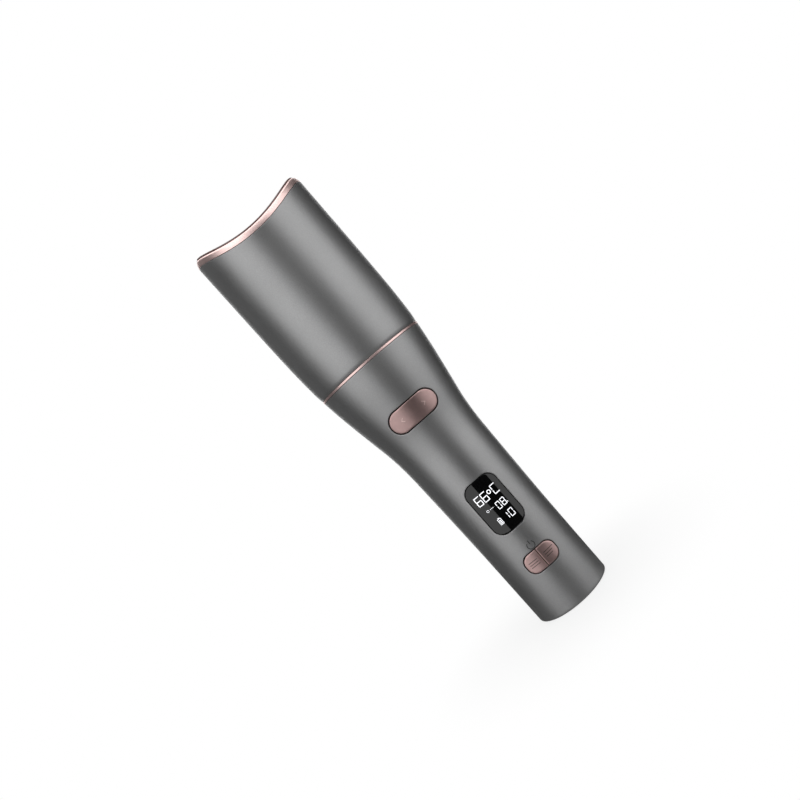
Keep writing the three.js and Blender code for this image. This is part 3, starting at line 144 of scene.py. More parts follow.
def new_object(name, vertices, faces, material, angle=35):
    mesh = bpy.data.meshes.new(name)
    mesh.from_pydata(vertices, [], faces)
    mesh.validate()
    for face in mesh.polygons:
        face.use_smooth = True
    mesh.set_sharp_from_angle(angle=math.radians(angle))
    made = bpy.data.objects.new(name, mesh)
    bpy.context.scene.collection.objects.link(made)
    made.data.materials.append(material)
    return made


def spread(low, high, count):
    return [low + (high - low) * i / (count - 1) for i in range(count)]


def around(radius, angle, z):
    return (radius * math.sin(angle), -radius * math.cos(angle), z)


def ring(name, section, material, sides=AROUND, start=0.0, sweep=2 * math.pi):
    """A closed ring, with end faces if it is a part turn.

    section(angle) lists its (radius, height) points, anticlockwise.
    """
    whole = sweep > 2 * math.pi - 1e-6
    count = sides if whole else sides + 1
    vertices = []
    for i in range(count):
        angle = start + sweep * i / sides
        vertices += [around(r, angle, z) for r, z in section(angle)]
    per = len(vertices) // count
    faces = []
    for i in range(sides):
        a, b = i * per, ((i + 1) % count) * per
        for j in range(per):
            k = (j + 1) % per
            faces.append((a + j, b + j, b + k, a + k))
    if not whole:
        faces.append(tuple(range(per)))
        faces.append(tuple(reversed(range((count - 1) * per, count * per))))
    return new_object(name, vertices, faces, material)


def solid_ring(name, section, material, sides=AROUND):
    """A ring whose section may start and end on the axis, where its points are welded into one."""
    made = ring(name, section, material, sides)
    shape = bmesh.new()
    shape.from_mesh(made.data)
    bmesh.ops.remove_doubles(shape, verts=shape.verts, dist=1e-7)
    shape.to_mesh(made.data)
    shape.free()
    return made


def corner(centre, radius, first, last, steps=5):
    """Points of a round corner in a section, angles in degrees from the radius axis."""
    turns = [math.radians(a) for a in spread(first, last, steps)]
    return [(centre[0] + radius * math.cos(a), centre[1] + radius * math.sin(a)) for a in turns]


def rounded_rect(width, height, corner_radius, step=0.3 * MM):
    """Points round a rectangle with round corners, anticlockwise, about its middle."""
    x, y = width / 2 - corner_radius, height / 2 - corner_radius
    steps = max(6, int(math.pi / 2 * corner_radius / step))
    points = []
    for k, (cx, cy) in enumerate([(x, y), (-x, y), (-x, -y), (x, -y)]):
        for angle in spread(k * math.pi / 2, (k + 1) * math.pi / 2, steps):
            points.append((cx + corner_radius * math.cos(angle), cy + corner_radius * math.sin(angle)))
    return densify(points, step)


def densify(points, step):
    """The same closed outline with no stretch longer than step."""
    out = []
    for (x0, y0), (x1, y1) in zip(points, points[1:] + points[:1]):
        parts = max(1, int(math.hypot(x1 - x0, y1 - y0) / step))
        out += [(x0 + (x1 - x0) * i / parts, y0 + (y1 - y0) * i / parts) for i in range(parts)]
    kept = []
    for point in out:
        if not kept or math.dist(point, kept[-1]) > 1e-6:
            kept.append(point)
    return kept[:-1] if math.dist(kept[0], kept[-1]) < 1e-6 else kept


def rect_distance(x, y, width, height, corner_radius):
    """How far outside a rectangle with round corners a point lies; negative inside."""
    qx = abs(x) - width / 2 + corner_radius
    qy = abs(y) - height / 2 + corner_radius
    outside = math.hypot(max(qx, 0), max(qy, 0))
    return outside + min(max(qx, qy), 0) - corner_radius


def fillet_drop(distance, radius):
    """How far a rounded edge lies below the surface at a distance from the edge."""
    if radius <= 0 or distance >= radius:
        return 0.0
    inset = radius - max(distance, 0)
    return radius - math.sqrt(max(radius * radius - inset * inset, 0))


def skin(name, loops, interior, inside, drop, top, depth, material, radius_at=handle_radius):
    """A closed piece of the handle's skin.

    loops are its outlines and interior its inner points, all as (x, z) seen from the front; inside(x, z)
    tells which triangles stay; drop(x, z) lowers the outer face from its offset top, and depth is below
    the outer face.
    """
    flat, edges = [], []

    def arc(x, z):
        reach = radius_at(z)
        return Vector((math.asin(max(-1, min(1, x / reach))) * ARC_RADIUS, z))

    for loop in loops:
        first = len(flat)
        flat += [arc(x, z) for x, z in loop]
        edges += [(first + i, first + (i + 1) % len(loop)) for i in range(len(loop))]
    flat += [arc(x, z) for x, z in interior]
    points, _, faces, *_ = delaunay_2d_cdt(flat, edges, [], 1, 1e-8)

    def place(point):
        reach = radius_at(point[1])
        return reach * math.sin(point[0] / ARC_RADIUS), point[1]

    kept = []
    for face in faces:
        x, z = place(sum((points[i] for i in face), Vector((0, 0))) / len(face))
        if inside(x, z):
            kept.append(tuple(face))
    outer, inner = [], []
    for point in points:
        x, z = place(point)
        reach = radius_at(z)
        angle = point[0] / ARC_RADIUS
        outer.append(around(reach + top - drop(x, z), angle, z))
        inner.append(around(reach + top - depth, angle, z))
    count = len(points)
    borders = {}
    for face in kept:
        for a, b in zip(face, face[1:] + face[:1]):
            borders[(a, b)] = True
    faces = list(kept) + [tuple(i + count for i in reversed(face)) for face in kept]
    for a, b in borders:
        if (b, a) not in borders:
            faces.append((b, a, a + count, b + count))
    used = sorted({i for face in faces for i in face})
    index = {old: new for new, old in enumerate(used)}
    everything = outer + inner
    return new_object(
        name,
        [everything[i] for i in used],
        [tuple(index[i] for i in face) for face in faces],
        material,
    )


def grid_points(x0, x1, z0, z1, step, keep):
    xs = spread(x0, x1, max(2, round((x1 - x0) / step) + 1))
    zs = spread(z0, z1, max(2, round((z1 - z0) / step) + 1))
    return [(x, z) for z in zs for x in xs if keep(x, z)]


def pad(
    name, centre, size, corner_radius, top, depth, fillet, material, side=0, split=0.0, step=0.5 * MM
):
    """A rounded pad that follows the handle's skin; side picks the left or right half of it."""
    (cx, cz), (width, height) = centre, size

    def edge(x, z):
        distance = -rect_distance(x - cx, z - cz, width, height, corner_radius)
        return min(distance, side * (x - cx) - split / 2) if side else distance

    def outline(inset):
        loop = rounded_rect(width - 2 * inset, height - 2 * inset, max(corner_radius - inset, 1e-5))
        loop = [(cx + x, cz + z) for x, z in loop]
        if not side:
            return loop
        limit = cx + side * (split / 2 + inset)
        clear = 0.02 * MM
        part = [p for p in loop if side * (p[0] - limit) > clear]
        gap = max(range(len(part)), key=lambda i: math.dist(part[i - 1], part[i]))
        part = part[gap:] + part[:gap]
        return densify(part + [(limit, part[-1][1]), (limit, part[0][1])], 0.3 * MM)

    insets = [0.0] + [fillet * share for share in (0.15, 0.4, 0.7, 1.0)] if fillet else [0.0]
    loops = [outline(inset) for inset in insets]
    margin = fillet + step * 0.6
    interior = grid_points(
        cx - width / 2,
        cx + width / 2,
        cz - height / 2,
        cz + height / 2,
        step,
        lambda x, z: edge(x, z) > margin,
    )
    return skin(
        name,
        loops,
        interior,
        lambda x, z: edge(x, z) > 0,
        lambda x, z: fillet_drop(edge(x, z), fillet),
        top,
        depth,
        material,
    )


def mark(name, outlines, top, depth, material):
    """Thin shapes that follow the handle's skin, as one piece: each outline is a polygon of (x, z)."""
    made = []
    for i, outline in enumerate(outlines):
        outline = densify(outline, 0.25 * MM)
        low_x, high_x = min(p[0] for p in outline), max(p[0] for p in outline)
        low_z, high_z = min(p[1] for p in outline), max(p[1] for p in outline)
        inside = lambda x, z, loop=outline: in_polygon(x, z, loop)
        interior = grid_points(low_x, high_x, low_z, high_z, 0.4 * MM, inside)
        interior = [p for p in interior if min(math.dist(p, q) for q in outline) > 0.1 * MM]
        flush = lambda x, z: 0
        made.append(skin(f"{name}_{i}", [outline], interior, inside, flush, top, depth, material))
    return joined(name, made)


def in_polygon(x, z, loop):
    inside = False
    for (x0, z0), (x1, z1) in zip(loop, loop[1:] + loop[:1]):
        if (z0 > z) != (z1 > z) and x < x0 + (z - z0) * (x1 - x0) / (z1 - z0):
            inside = not inside
    return inside


def joined(name, parts):
    """Several meshes as one object."""
    vertices, faces = [], []
    material = parts[0].data.materials[0]
    for part in parts:
        first = len(vertices)
        vertices += [tuple(v.co) for v in part.data.vertices]
        faces += [tuple(first + i for i in face.vertices) for face in part.data.polygons]
        bpy.data.objects.remove(part)
    return new_object(name, vertices, faces, material)


def stroke(points, width):
    """A line of some width through (x, z) points, as one polygon with mitred corners."""
    left, right = [], []
    for i, (x, z) in enumerate(points):
        before = Vector(points[max(i - 1, 0)])
        after = Vector(points[min(i + 1, len(points) - 1)])
        here = Vector((x, z))
        incoming = (here - before).normalized() if i else (after - here).normalized()
        outgoing = (after - here).normalized() if i < len(points) - 1 else incoming
        normal = Vector((-(incoming + outgoing).y, (incoming + outgoing).x)).normalized()
        stretch = 1 / max(0.4, normal.dot(Vector((-incoming.y, incoming.x))))
        left.append(tuple(here + normal * width / 2 * stretch))
        right.append(tuple(here - normal * width / 2 * stretch))
    return right + left[::-1]


# ---- Materials ----

RANGE_SOCKETS = ("From Min", "From Max", "To Min", "To Max")


class Surface:
    """A node material under construction: a Principled shader and short calls for what feeds it."""

    def __init__(self, name, color, roughness, metallic=0.0, **sockets):
        self.material = bpy.data.materials.new(name)
        self.material.use_nodes = True
        self.tree = self.material.node_tree
        self.shader = self.tree.nodes["Principled BSDF"]
        self.color = color
        self.roughness = roughness
        self.shader.inputs["Base Color"].default_value = (*color, 1)
        self.shader.inputs["Roughness"].default_value = roughness
        self.shader.inputs["Metallic"].default_value = metallic
        for socket, value in sockets.items():
            self.shader.inputs[socket.replace("_", " ")].default_value = value
        self.place = self.node("ShaderNodeTexCoord").outputs["Object"]
        self.height = None

    def node(self, kind, **values):
        made = self.tree.nodes.new(kind)
        for key, value in values.items():
            if key in made.inputs:
                made.inputs[key].default_value = value
            else:
                setattr(made, key, value)
        return made

    def link(self, source, target):
        self.tree.links.new(source, target)

    def noise(self, scale, detail=3.0, stretch=(1, 1, 1)):
        mapping = self.node("ShaderNodeMapping")
        mapping.inputs["Scale"].default_value = stretch
        texture = self.node("ShaderNodeTexNoise", Scale=scale, Detail=detail)
        self.link(self.place, mapping.inputs["Vector"])
        self.link(mapping.outputs["Vector"], texture.inputs["Vector"])
        return texture.outputs["Fac"]

    def cells(self, scale):
        texture = self.node("ShaderNodeTexVoronoi", Scale=scale)
        self.link(self.place, texture.inputs["Vector"])
        return texture.outputs["Distance"]

    def ranged(self, source, low, high, new_low, new_high):
        node = self.node("ShaderNodeMapRange")
        for socket, value in zip(RANGE_SOCKETS, (low, high, new_low, new_high)):
            node.inputs[socket].default_value = value
        self.link(source, node.inputs["Value"])
        return node.outputs["Result"]

    def vary_color(self, source, darker, lighter, low=0.3, high=0.7):
        """Moves the base colour between two shades of itself."""
        mix = self.node("ShaderNodeMix", data_type="RGBA")
        mix.inputs["A"].default_value = (*[c * darker for c in self.color], 1)
        mix.inputs["B"].default_value = (*[c * lighter for c in self.color], 1)
        self.link(self.ranged(source, low, high, 0, 1), mix.inputs["Factor"])
        self.link(mix.outputs["Result"], self.shader.inputs["Base Color"])
        return self

    def vary_roughness(self, source, amount, low=0.3, high=0.7):
        spread_out = self.ranged(source, low, high, self.roughness - amount, self.roughness + amount)
        self.link(spread_out, self.shader.inputs["Roughness"])
        return self

    def bump(self, source, distance, strength=1.0):
        """Adds a relief of that depth in metres."""
        node = self.node("ShaderNodeBump", Strength=strength, Distance=distance)
        self.link(source, node.inputs["Height"])
        if self.height is not None:
            self.link(self.height, node.inputs["Normal"])
        self.height = node.outputs["Normal"]
        self.link(self.height, self.shader.inputs["Normal"])
        return self


def satin_shell():
    s = Surface("satin_grey_lacquer", (0.33, 0.33, 0.332), 0.43, 0.95)
    s.vary_color(s.noise(2600, 2), 0.93, 1.08)
    s.vary_roughness(s.noise(38, 4), 0.025)
    return s.bump(s.noise(5200, 2), 0.004 * MM, 0.5).material


def rose_metal(name, color, roughness, grain):
    s = Surface(name, color, roughness, 1.0)
    s.vary_color(s.noise(900, 3), 0.96, 1.04)
    s.vary_roughness(s.noise(120, 4), 0.03)
    return s.bump(s.noise(grain, 2, (1, 1, 0.12)), 0.0012 * MM, 0.4).material


def moulded(name, color, roughness, grain=3400, depth=0.012):
    s = Surface(name, color, roughness, 0.0)
    s.vary_color(s.noise(300, 4), 0.86, 1.14)
    s.vary_roughness(s.noise(90, 3), 0.05)
    return s.bump(s.cells(grain), depth * MM, 0.6).material


def worked_metal(name, color, roughness, stretch=(1, 1, 0.05), scale=2400):
    s = Surface(name, color, roughness, 1.0)
    s.vary_color(s.noise(220, 3), 0.88, 1.1)
    s.vary_roughness(s.noise(scale, 3, stretch), 0.07)
    return s.bump(s.noise(scale, 2, stretch), 0.006 * MM, 0.6).material


def glossy_pane():
    s = Surface("smoked_pane", (0.0012, 0.0012, 0.0014), 0.045, 0.0, Specular_IOR_Level=0.5)
    s.vary_roughness(s.noise(60, 3), 0.015)
    return s.bump(s.noise(26, 2), 0.002 * MM, 0.2).material


def ceramic():
    s = Surface("ceramic_coat", (0.05, 0.045, 0.047), 0.3, 0.25, Coat_Weight=0.3, Coat_Roughness=0.15)
    s.vary_color(s.noise(1500, 3), 0.8, 1.25)
    return s.bump(s.noise(2200, 3), 0.006 * MM, 0.5).material


def lit_segments():
    s = Surface("lit_segments", (0.85, 0.86, 0.88), 0.4, 0.0)
    s.shader.inputs["Emission Color"].default_value = (0.93, 0.95, 1.0, 1)
    s.shader.inputs["Emission Strength"].default_value = 0.72
    return s.vary_color(s.noise(2500, 2), 0.95, 1.02).material


def circuit_board():
    s = Surface("green_board", (0.012, 0.09, 0.035), 0.42, 0.0)
    s.vary_color(s.cells(420), 0.7, 1.5, 0.2, 0.6)
    return s.bump(s.cells(420), 0.03 * MM, 0.5).material


SHELL = satin_shell()
# A lighter rose than the keys: partly a brighter polish, partly painted light, the brightness the band's
# upward-leaning face catches. The seam ring shares it.
TRIM = rose_metal("polished_rose_gold_and_painted_sheen", (0.86, 0.64, 0.61), 0.38, 2600)
KEY_METAL = rose_metal("satin_rose_gold", (0.52, 0.36, 0.345), 0.36, 3000)
# The chevrons' lighter rose is a painted highlight on their relief; the rocker's own metal is darker.
HIGHLIGHT_MARK_METAL = rose_metal("raised_marks_painted_highlight", (0.86, 0.68, 0.65), 0.5, 3000)
BLACK = moulded("black_plastic", (0.018, 0.018, 0.019), 0.5)
LIP_BROWN = moulded("brown_lip", (0.13, 0.08, 0.074), 0.26, 2600, 0.006)
PARTS_BLACK = moulded("component_black", (0.012, 0.012, 0.013), 0.45)
NATURAL = moulded("natural_plastic", (0.62, 0.6, 0.55), 0.5)
PANE = glossy_pane()
CERAMIC = ceramic()
LIT = lit_segments()
# The key lines are dark strips of painted shade, where engraved grooves would fall into shadow.
KEY_LINE_SHADE = moulded("key_line_painted_shade", (0.09, 0.06, 0.055), 0.45, 3000, 0.003)
PRINT = moulded("dark_print", (0.03, 0.03, 0.032), 0.5, 3000, 0.003)
STEEL = worked_metal("turned_steel", (0.52, 0.52, 0.53), 0.34)
ALUMINIUM = worked_metal("drawn_aluminium", (0.5, 0.505, 0.515), 0.42, (1, 1, 0.02))
BRASS = worked_metal("machined_brass", (0.52, 0.36, 0.13), 0.34, (1, 1, 0.2))
BOARD = circuit_board()
WRAP = moulded("shrink_wrap", (0.03, 0.13, 0.33), 0.32, 500, 0.02)
SILICONE = moulded("red_silicone", (0.3, 0.03, 0.025), 0.55)

SLOT_MATERIALS = {
    "shell": SHELL,
    "rose_gold": KEY_METAL,
    "dark_plastic": BLACK,
    "display_pane": PANE,
    "ceramic": CERAMIC,
    "steel": STEEL,
    "aluminium": ALUMINIUM,
    "brass": BRASS,
    "board": BOARD,
    "cell_wrap": WRAP,
    "white_plastic": NATURAL,
    "component_black": PARTS_BLACK,
    "silicone_red": SILICONE,
}


def paint_cad_nodes():
    """Every CAD node takes the node material of its slot."""
    for part in frame["record"]["subparts"]:
        made = frame["nodes"][part["node"]]
        made.data.materials.clear()
        made.data.materials.append(SLOT_MATERIALS[part["material_slot"]])


def stands_for(made, body, slot, *nodes):
    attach(made, body)
    if nodes:
        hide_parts(*nodes)
    return made


# ---- Chamber ----

def build_chamber():
    trim_foot = LIP_HEIGHT + TRIM_HEIGHT  # below the rim
    edge = 0.25 * MM

    def casing(angle):
        top = rim(angle) - trim_foot - JOINT_LINE
        heights = spread(CHAMBER_BOTTOM + edge, top - edge, 46)
        outside = [(chamber_radius(z), z) for z in heights]
        low = (chamber_radius(CHAMBER_BOTTOM) - edge, CHAMBER_BOTTOM + edge)
        high = (chamber_radius(top) - edge, top - edge)
        inside = [(chamber_radius(z) - CHAMBER_WALL, z) for z in spread(top, CHAMBER_BOTTOM, 10)]
        return corner(low, edge, -90, -12) + outside + corner(high, edge, 12, 90) + inside

    stands_for(ring("chamber_casing", casing, SHELL), "body", "shell", "barrel_housing")

    liner_outer = CHAMBER_WALL + LINER_GAP
    liner_inner = liner_outer + LINER_WALL
    liner_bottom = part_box("heat_shield")[0].z

    def liner(angle):
        top = rim(angle) - trim_foot - JOINT_LINE
        heights = spread(liner_bottom, top, 30)
        outside = [(chamber_radius(z) - liner_outer, z) for z in heights]
        inside = [(chamber_radius(z) - liner_inner, z) for z in reversed(heights)]
        return outside + inside

    stands_for(ring("chamber_liner", liner, ALUMINIUM), "body", "aluminium", "heat_shield")

    soft, nose = 0.15 * MM, 1.0 * MM
    lean = 15  # degrees that the band's face leans back

    def trim(angle):
        bottom = rim(angle) - trim_foot
        top = bottom + TRIM_HEIGHT - JOINT_LINE
        outer = chamber_radius(bottom)
        inner = outer - liner_inner
        low = corner((outer - soft, bottom + soft), soft, -90, lean, 5)
        high = corner((outer - TRIM_INSET, top - nose), nose, lean, 90, 9)
        return [(inner, bottom)] + low + high + [(inner, top)]

    stands_for(ring("mouth_band", trim, TRIM), "body", "rose_gold", "mouth_trim_ring")

    def lip(angle):
        top = rim(angle)
        outer = chamber_radius(top - trim_foot) - TRIM_INSET
        bottom = top - LIP_HEIGHT
        skirt_outer = chamber_radius(top - trim_foot) - liner_inner - LINER_GAP
        skirt_inner = skirt_outer - LIP_WALL
        crown, brim = 0.32 * MM, 0.3 * MM  # the round edges outside and inside
        return (
            [(skirt_inner, bottom - LIP_SKIRT), (skirt_outer, bottom - LIP_SKIRT)]
            + [(skirt_outer, bottom), (outer, bottom)]
            + corner((outer - crown, top - crown), crown, 0, 90, 8)
            + corner((skirt_inner + brim, top - brim), brim, 90, 180, 6)
        )

    stands_for(ring("mouth_guard", lip, LIP_BROWN), "body", "dark_plastic", "mouth_lip")

    low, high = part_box("seam_ring")
    outer = high.x
    inner = outer - SEAM_WIDTH
    blunt = 0.12 * MM

    def seam(angle):
        foot = corner((outer - blunt, low.z + blunt), blunt, -90, 0)
        head = corner((outer - blunt, high.z - blunt), blunt, 0, 90)
        return [(inner, low.z)] + foot + head + [(inner, high.z)]

    stands_for(ring("seam_band", seam, TRIM), "body", "rose_gold", "seam_ring")


# ---- What shows inside the mouth ----

def build_barrel():
    """The heated barrel and its cool tip, with soft edges."""
    low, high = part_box("heated_barrel")
    radius, wall, soft = high.x, 1.5 * MM, 0.4 * MM

    def tube(angle):
        foot = corner((radius - soft, low.z + soft), soft, -90, 0)
        head = corner((radius - soft, high.z - soft), soft, 0, 90)
        return foot + head + [(radius - wall, high.z), (radius - wall, low.z)]

    stands_for(ring("curling_barrel", tube, CERAMIC), "body", "ceramic", "heated_barrel")

    bottom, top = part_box("barrel_tip")
    gap = 0.3 * MM
    shoulder = high.z + gap
    plug = radius - wall - gap
    crown = 1.9 * MM
    dish = 0.5 * MM  # the end is slightly hollow
    dish_radius = radius * 0.62

    def tip(angle):
        side = [(0, bottom.z), (plug, bottom.z), (plug, shoulder)]
        side += corner((radius - soft, shoulder + soft), soft, -90, 0)
        side += corner((radius - crown, top.z - crown), crown, 0, 90, 10)
        turns = spread(0, math.pi / 2, 8)
        hollow = [(dish_radius * math.cos(t), top.z - dish * math.sin(t)) for t in turns]
        return side + hollow[:-1] + [(0, top.z - dish)]

    stands_for(solid_ring("barrel_end", tip, BLACK, 96), "body", "dark_plastic", "barrel_tip")


def build_rotor():
    """The dish that turns round the barrel, with its two hooked arms."""
    low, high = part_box("hair_rotor")
    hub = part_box("rotor_bushing")
    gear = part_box("rotor_ring_gear")
    reach = high.x
    web, hook, hook_height, arm = 2 * MM, 1.6 * MM, 3.5 * MM, 2.2 * MM
    bore, hub_wall, hub_rise = 5.6 * MM, 1.7 * MM, 3.2 * MM
    skirt_gap, skirt_wall = 0.3 * MM, 1.5 * MM
    hub_radius = bore + hub_wall
    hub_top = hub[1].z
    web_top = hub_top - hub_rise
    web_bottom = web_top - web
    skirt_inner = gear[1].x + skirt_gap
    skirt_outer = skirt_inner + skirt_wall
    soft = 0.3 * MM

    def dish(angle):
        return (
            [(bore, web_bottom), (skirt_inner, web_bottom), (skirt_inner, low.z)]
            + [(skirt_outer, low.z), (skirt_outer, web_bottom), (reach, web_bottom)]
            + corner((reach - soft, web_top - soft), soft, 0, 90)
            + [(hub_radius + soft, web_top), (hub_radius, web_top + soft)]
            + corner((hub_radius - soft, hub_top - soft), soft, 0, 90)
            + [(bore, hub_top)]
        )

    def finger(angle):
        inner = reach - arm
        nose = 0.6 * MM
        return (
            [(inner, web_top - web / 2), (reach, web_top - web / 2)]
            + corner((reach - nose, high.z - nose), nose, 0, 90)
            + corner((inner - hook + nose, high.z - nose), nose, 90, 180)
            + corner((inner - hook + nose, high.z - hook_height + nose), nose, 180, 270)
            + corner((inner - nose, high.z - hook_height - nose), nose, 90, 0, 4)
        )

    half_arm = math.radians(13)
    parts = [ring("rotor_dish", dish, BLACK, 120)]
    for k, middle in enumerate((math.pi / 2, 3 * math.pi / 2)):
        parts.append(ring(f"rotor_arm_{k}", finger, BLACK, 16, middle - half_arm, 2 * half_arm))
    stands_for(joined("winding_rotor", parts), "rotor", "dark_plastic", "hair_rotor")


# ---- Handle ----

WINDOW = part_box("display_window")
WINDOW_CENTRE = (0.0, (WINDOW[0].z + WINDOW[1].z) / 2)
WINDOW_SIZE = (WINDOW[1].x - WINDOW[0].x, WINDOW[1].z - WINDOW[0].z)
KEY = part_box("power_button")
KEYS_CENTRE = (0.0, (KEY[0].z + KEY[1].z) / 2)
KEYS_SIZE = (2 * (-KEY[0].x - KEY_FLANGE), KEY[1].z - KEY[0].z - 2 * KEY_FLANGE)
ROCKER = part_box("direction_rocker")
ROCKER_CENTRE = (0.0, (ROCKER[0].z + ROCKER[1].z) / 2)
ROCKER_SIZE = (ROCKER[1].x - ROCKER[0].x, ROCKER[1].z - ROCKER[0].z)
ROCKER_CORNER = ROCKER_SIZE[1] / 2 - 0.01 * MM


def opening(centre, size, corner_radius, gap):
    return centre, (size[0] + 2 * gap, size[1] + 2 * gap), corner_radius + gap


OPENINGS = [
    opening(WINDOW_CENTRE, WINDOW_SIZE, WINDOW_CORNER, WINDOW_GAP),
    opening(KEYS_CENTRE, KEYS_SIZE, KEY_CORNER, KEY_GAP),
    opening(ROCKER_CENTRE, ROCKER_SIZE, ROCKER_CORNER, ROCKER_GAP),
]


def build_front_shell():
    edge_round = 0.22 * MM  # round the openings
    foot_round = 0.5 * MM
    seam = 0.05 * MM  # half of the parting line
    step = 1.1 * MM

    def hole_distance(x, z):
        return min(
            rect_distance(x - centre[0], z - centre[1], *size, radius)
            for centre, size, radius in OPENINGS
        )

    def drop(x, z):
        return (
            fillet_drop(hole_distance(x, z), edge_round)
            + fillet_drop(z - BASE_TOP, foot_round)
            + fillet_drop(HANDLE_TOP - z, edge_round)
        )

    loops, rings = [], (0.0, 0.03, 0.09, 0.15, 0.22, 0.6, 1.1)
    for centre, size, radius in OPENINGS:
        for grow in rings:
            grow *= MM
            loop = rounded_rect(size[0] + 2 * grow, size[1] + 2 * grow, radius + grow, 0.45 * MM)
            loops.append([(centre[0] + x, centre[1] + z) for x, z in loop])
    margin = 0.4
    clear = (rings[-1] + margin) * MM
    edge_rows = [0, 0.04, 0.12, 0.25, 0.5]
    rows = [BASE_TOP + r * MM for r in edge_rows]
    rows += spread(BASE_TOP + 1.2 * MM, HANDLE_TOP - 0.8 * MM, int((HANDLE_TOP - BASE_TOP) / step))
    rows += [HANDLE_TOP - r * MM for r in (0.25, 0.12, 0.04, 0)]
    span = math.pi / 2 - seam / handle_radius(BASE_TOP)
    interior = []
    columns = 66
    border = []
    for z in rows:
        for i in range(columns + 1):
            angle = -span + 2 * span * i / columns
            x = handle_radius(z) * math.sin(angle)
            if i in (0, columns):
                border.append((x, z, i))
            elif z in (rows[0], rows[-1]) or hole_distance(x, z) > clear:
                interior.append((x, z))
    left = [(x, z) for x, z, i in border if i == 0]
    right = [(x, z) for x, z, i in border if i == columns]
    bottom = sorted(p for p in interior if p[1] == rows[0])
    top = sorted(p for p in interior if p[1] == rows[-1])
    interior = [p for p in interior if p[1] not in (rows[0], rows[-1])]
    outline = left[:1] + bottom + right + top[::-1] + left[:0:-1]
    made = skin(
        "handle_front",
        [outline] + loops,
        interior,
        lambda x, z: hole_distance(x, z) > 0,
        drop,
        0.0,
        HANDLE_WALL,
        SHELL,
    )
    stands_for(made, "body", "shell", "handle_front_shell")


def build_rear_shell():
    edge = 0.22 * MM
    foot = 0.5 * MM
    gap = 0.05 * MM / handle_radius(BASE_TOP)
    tongue_wall, tongue_reach = 0.7 * MM, math.radians(4)

    def section(angle):
        heights = spread(BASE_TOP + foot, HANDLE_TOP - edge, 96)
        outside = [(handle_radius(z), z) for z in heights]
        low = corner((handle_radius(BASE_TOP) - foot, BASE_TOP + foot), foot, -90, -10)
        high = corner((handle_radius(HANDLE_TOP) - edge, HANDLE_TOP - edge), edge, 10, 90)
        inside = [(handle_radius(z) - HANDLE_WALL, z) for z in spread(HANDLE_TOP, BASE_TOP, 24)]
        return low + outside + high + inside

    def tongue(angle):
        heights = spread(BASE_TOP + 2 * foot, HANDLE_TOP - 2 * foot, 40)
        outside = [(handle_radius(z) - HANDLE_WALL, z) for z in heights]
        inside = [(handle_radius(z) - HANDLE_WALL - tongue_wall, z) for z in reversed(heights)]
        return outside + inside

    start, sweep = math.pi / 2 + gap, math.pi - 2 * gap
    parts = [ring("handle_rear", section, SHELL, AROUND // 2, start, sweep)]
    for side in (-1, 1):  # a tongue behind each parting line keeps the light out
        first = side * math.pi / 2 - tongue_reach
        parts.append(ring(f"tongue_{side}", tongue, SHELL, 6, first, 2 * tongue_reach))
    stands_for(joined("handle_rear", parts), "body", "shell", "handle_rear_shell")


def build_controls():
    sink, pane_depth, pane_edge = 0.05 * MM, 1.5 * MM, 0.12 * MM
    key_edge, rocker_edge = 0.35 * MM, 0.4 * MM
    pane = pad(
        "display_pane", WINDOW_CENTRE, WINDOW_SIZE, WINDOW_CORNER, -sink, pane_depth, pane_edge, PANE
    )
    stands_for(pane, "body", "display_pane", "display_window")
    for name, side, body in (("power", -1, "power_key"), ("set", 1, "set_key")):
        key = pad(
            f"{name}_key_cap",
            KEYS_CENTRE,
            KEYS_SIZE,
            KEY_CORNER,
            KEY_PROUD,
            PAD_DEPTH,
            key_edge,
            KEY_METAL,
            side,
            KEY_SPLIT,
        )
        stands_for(key, body, "rose_gold", f"{name}_button")
        add_key_lines(name, side, body)
    rocker = pad(
        "direction_rocker_cap",
        ROCKER_CENTRE,
        ROCKER_SIZE,
        ROCKER_CORNER,
        ROCKER_PROUD,
        PAD_DEPTH,
        rocker_edge,
        KEY_METAL,
    )
    stands_for(rocker, "direction_switch", "rose_gold", "direction_rocker")
    add_chevrons()
    add_power_symbol()
    add_readout()


def add_key_lines(name, side, body):
    """Three thin dark lines on each key, painted shade in place of engraved grooves."""
    width, pitch = 0.32 * MM, 1.07 * MM
    start = 1.75 * MM
    lengths = [4.1, 4.1, 4.1] if side < 0 else [4.7, 3.9, 3.3]
    outlines = []
    for row, length in enumerate(lengths):
        z = KEYS_CENTRE[1] + (1 - row) * pitch
        ends = sorted([side * start, side * (start + length * MM)])
        outlines.append(stroke([(ends[0], z), (ends[1], z)], width))
    made = mark(f"{name}_key_lines", outlines, KEY_PROUD + MARK_PROUD, MARK_DEPTH, KEY_LINE_SHADE)
    stands_for(made, body, "component_black")


def add_chevrons():
    """A raised arrow at each end of the rocker, in a lighter rose than the rocker that paints their
    highlight.
    """
    reach, rise, place = 0.55 * MM, 0.95 * MM, 5.5 * MM
    line, proud, depth = 0.26 * MM, 0.04 * MM, 0.15 * MM
    outlines = []
    for side in (-1, 1):
        tip = side * (place + reach)
        back = side * (place - reach)
        z = ROCKER_CENTRE[1]
        outlines.append(stroke([(back, z + rise), (tip, z), (back, z - rise)], line))
    made = mark("rocker_chevrons", outlines, ROCKER_PROUD + proud, depth, HIGHLIGHT_MARK_METAL)
    stands_for(made, "direction_switch", "rose_gold")


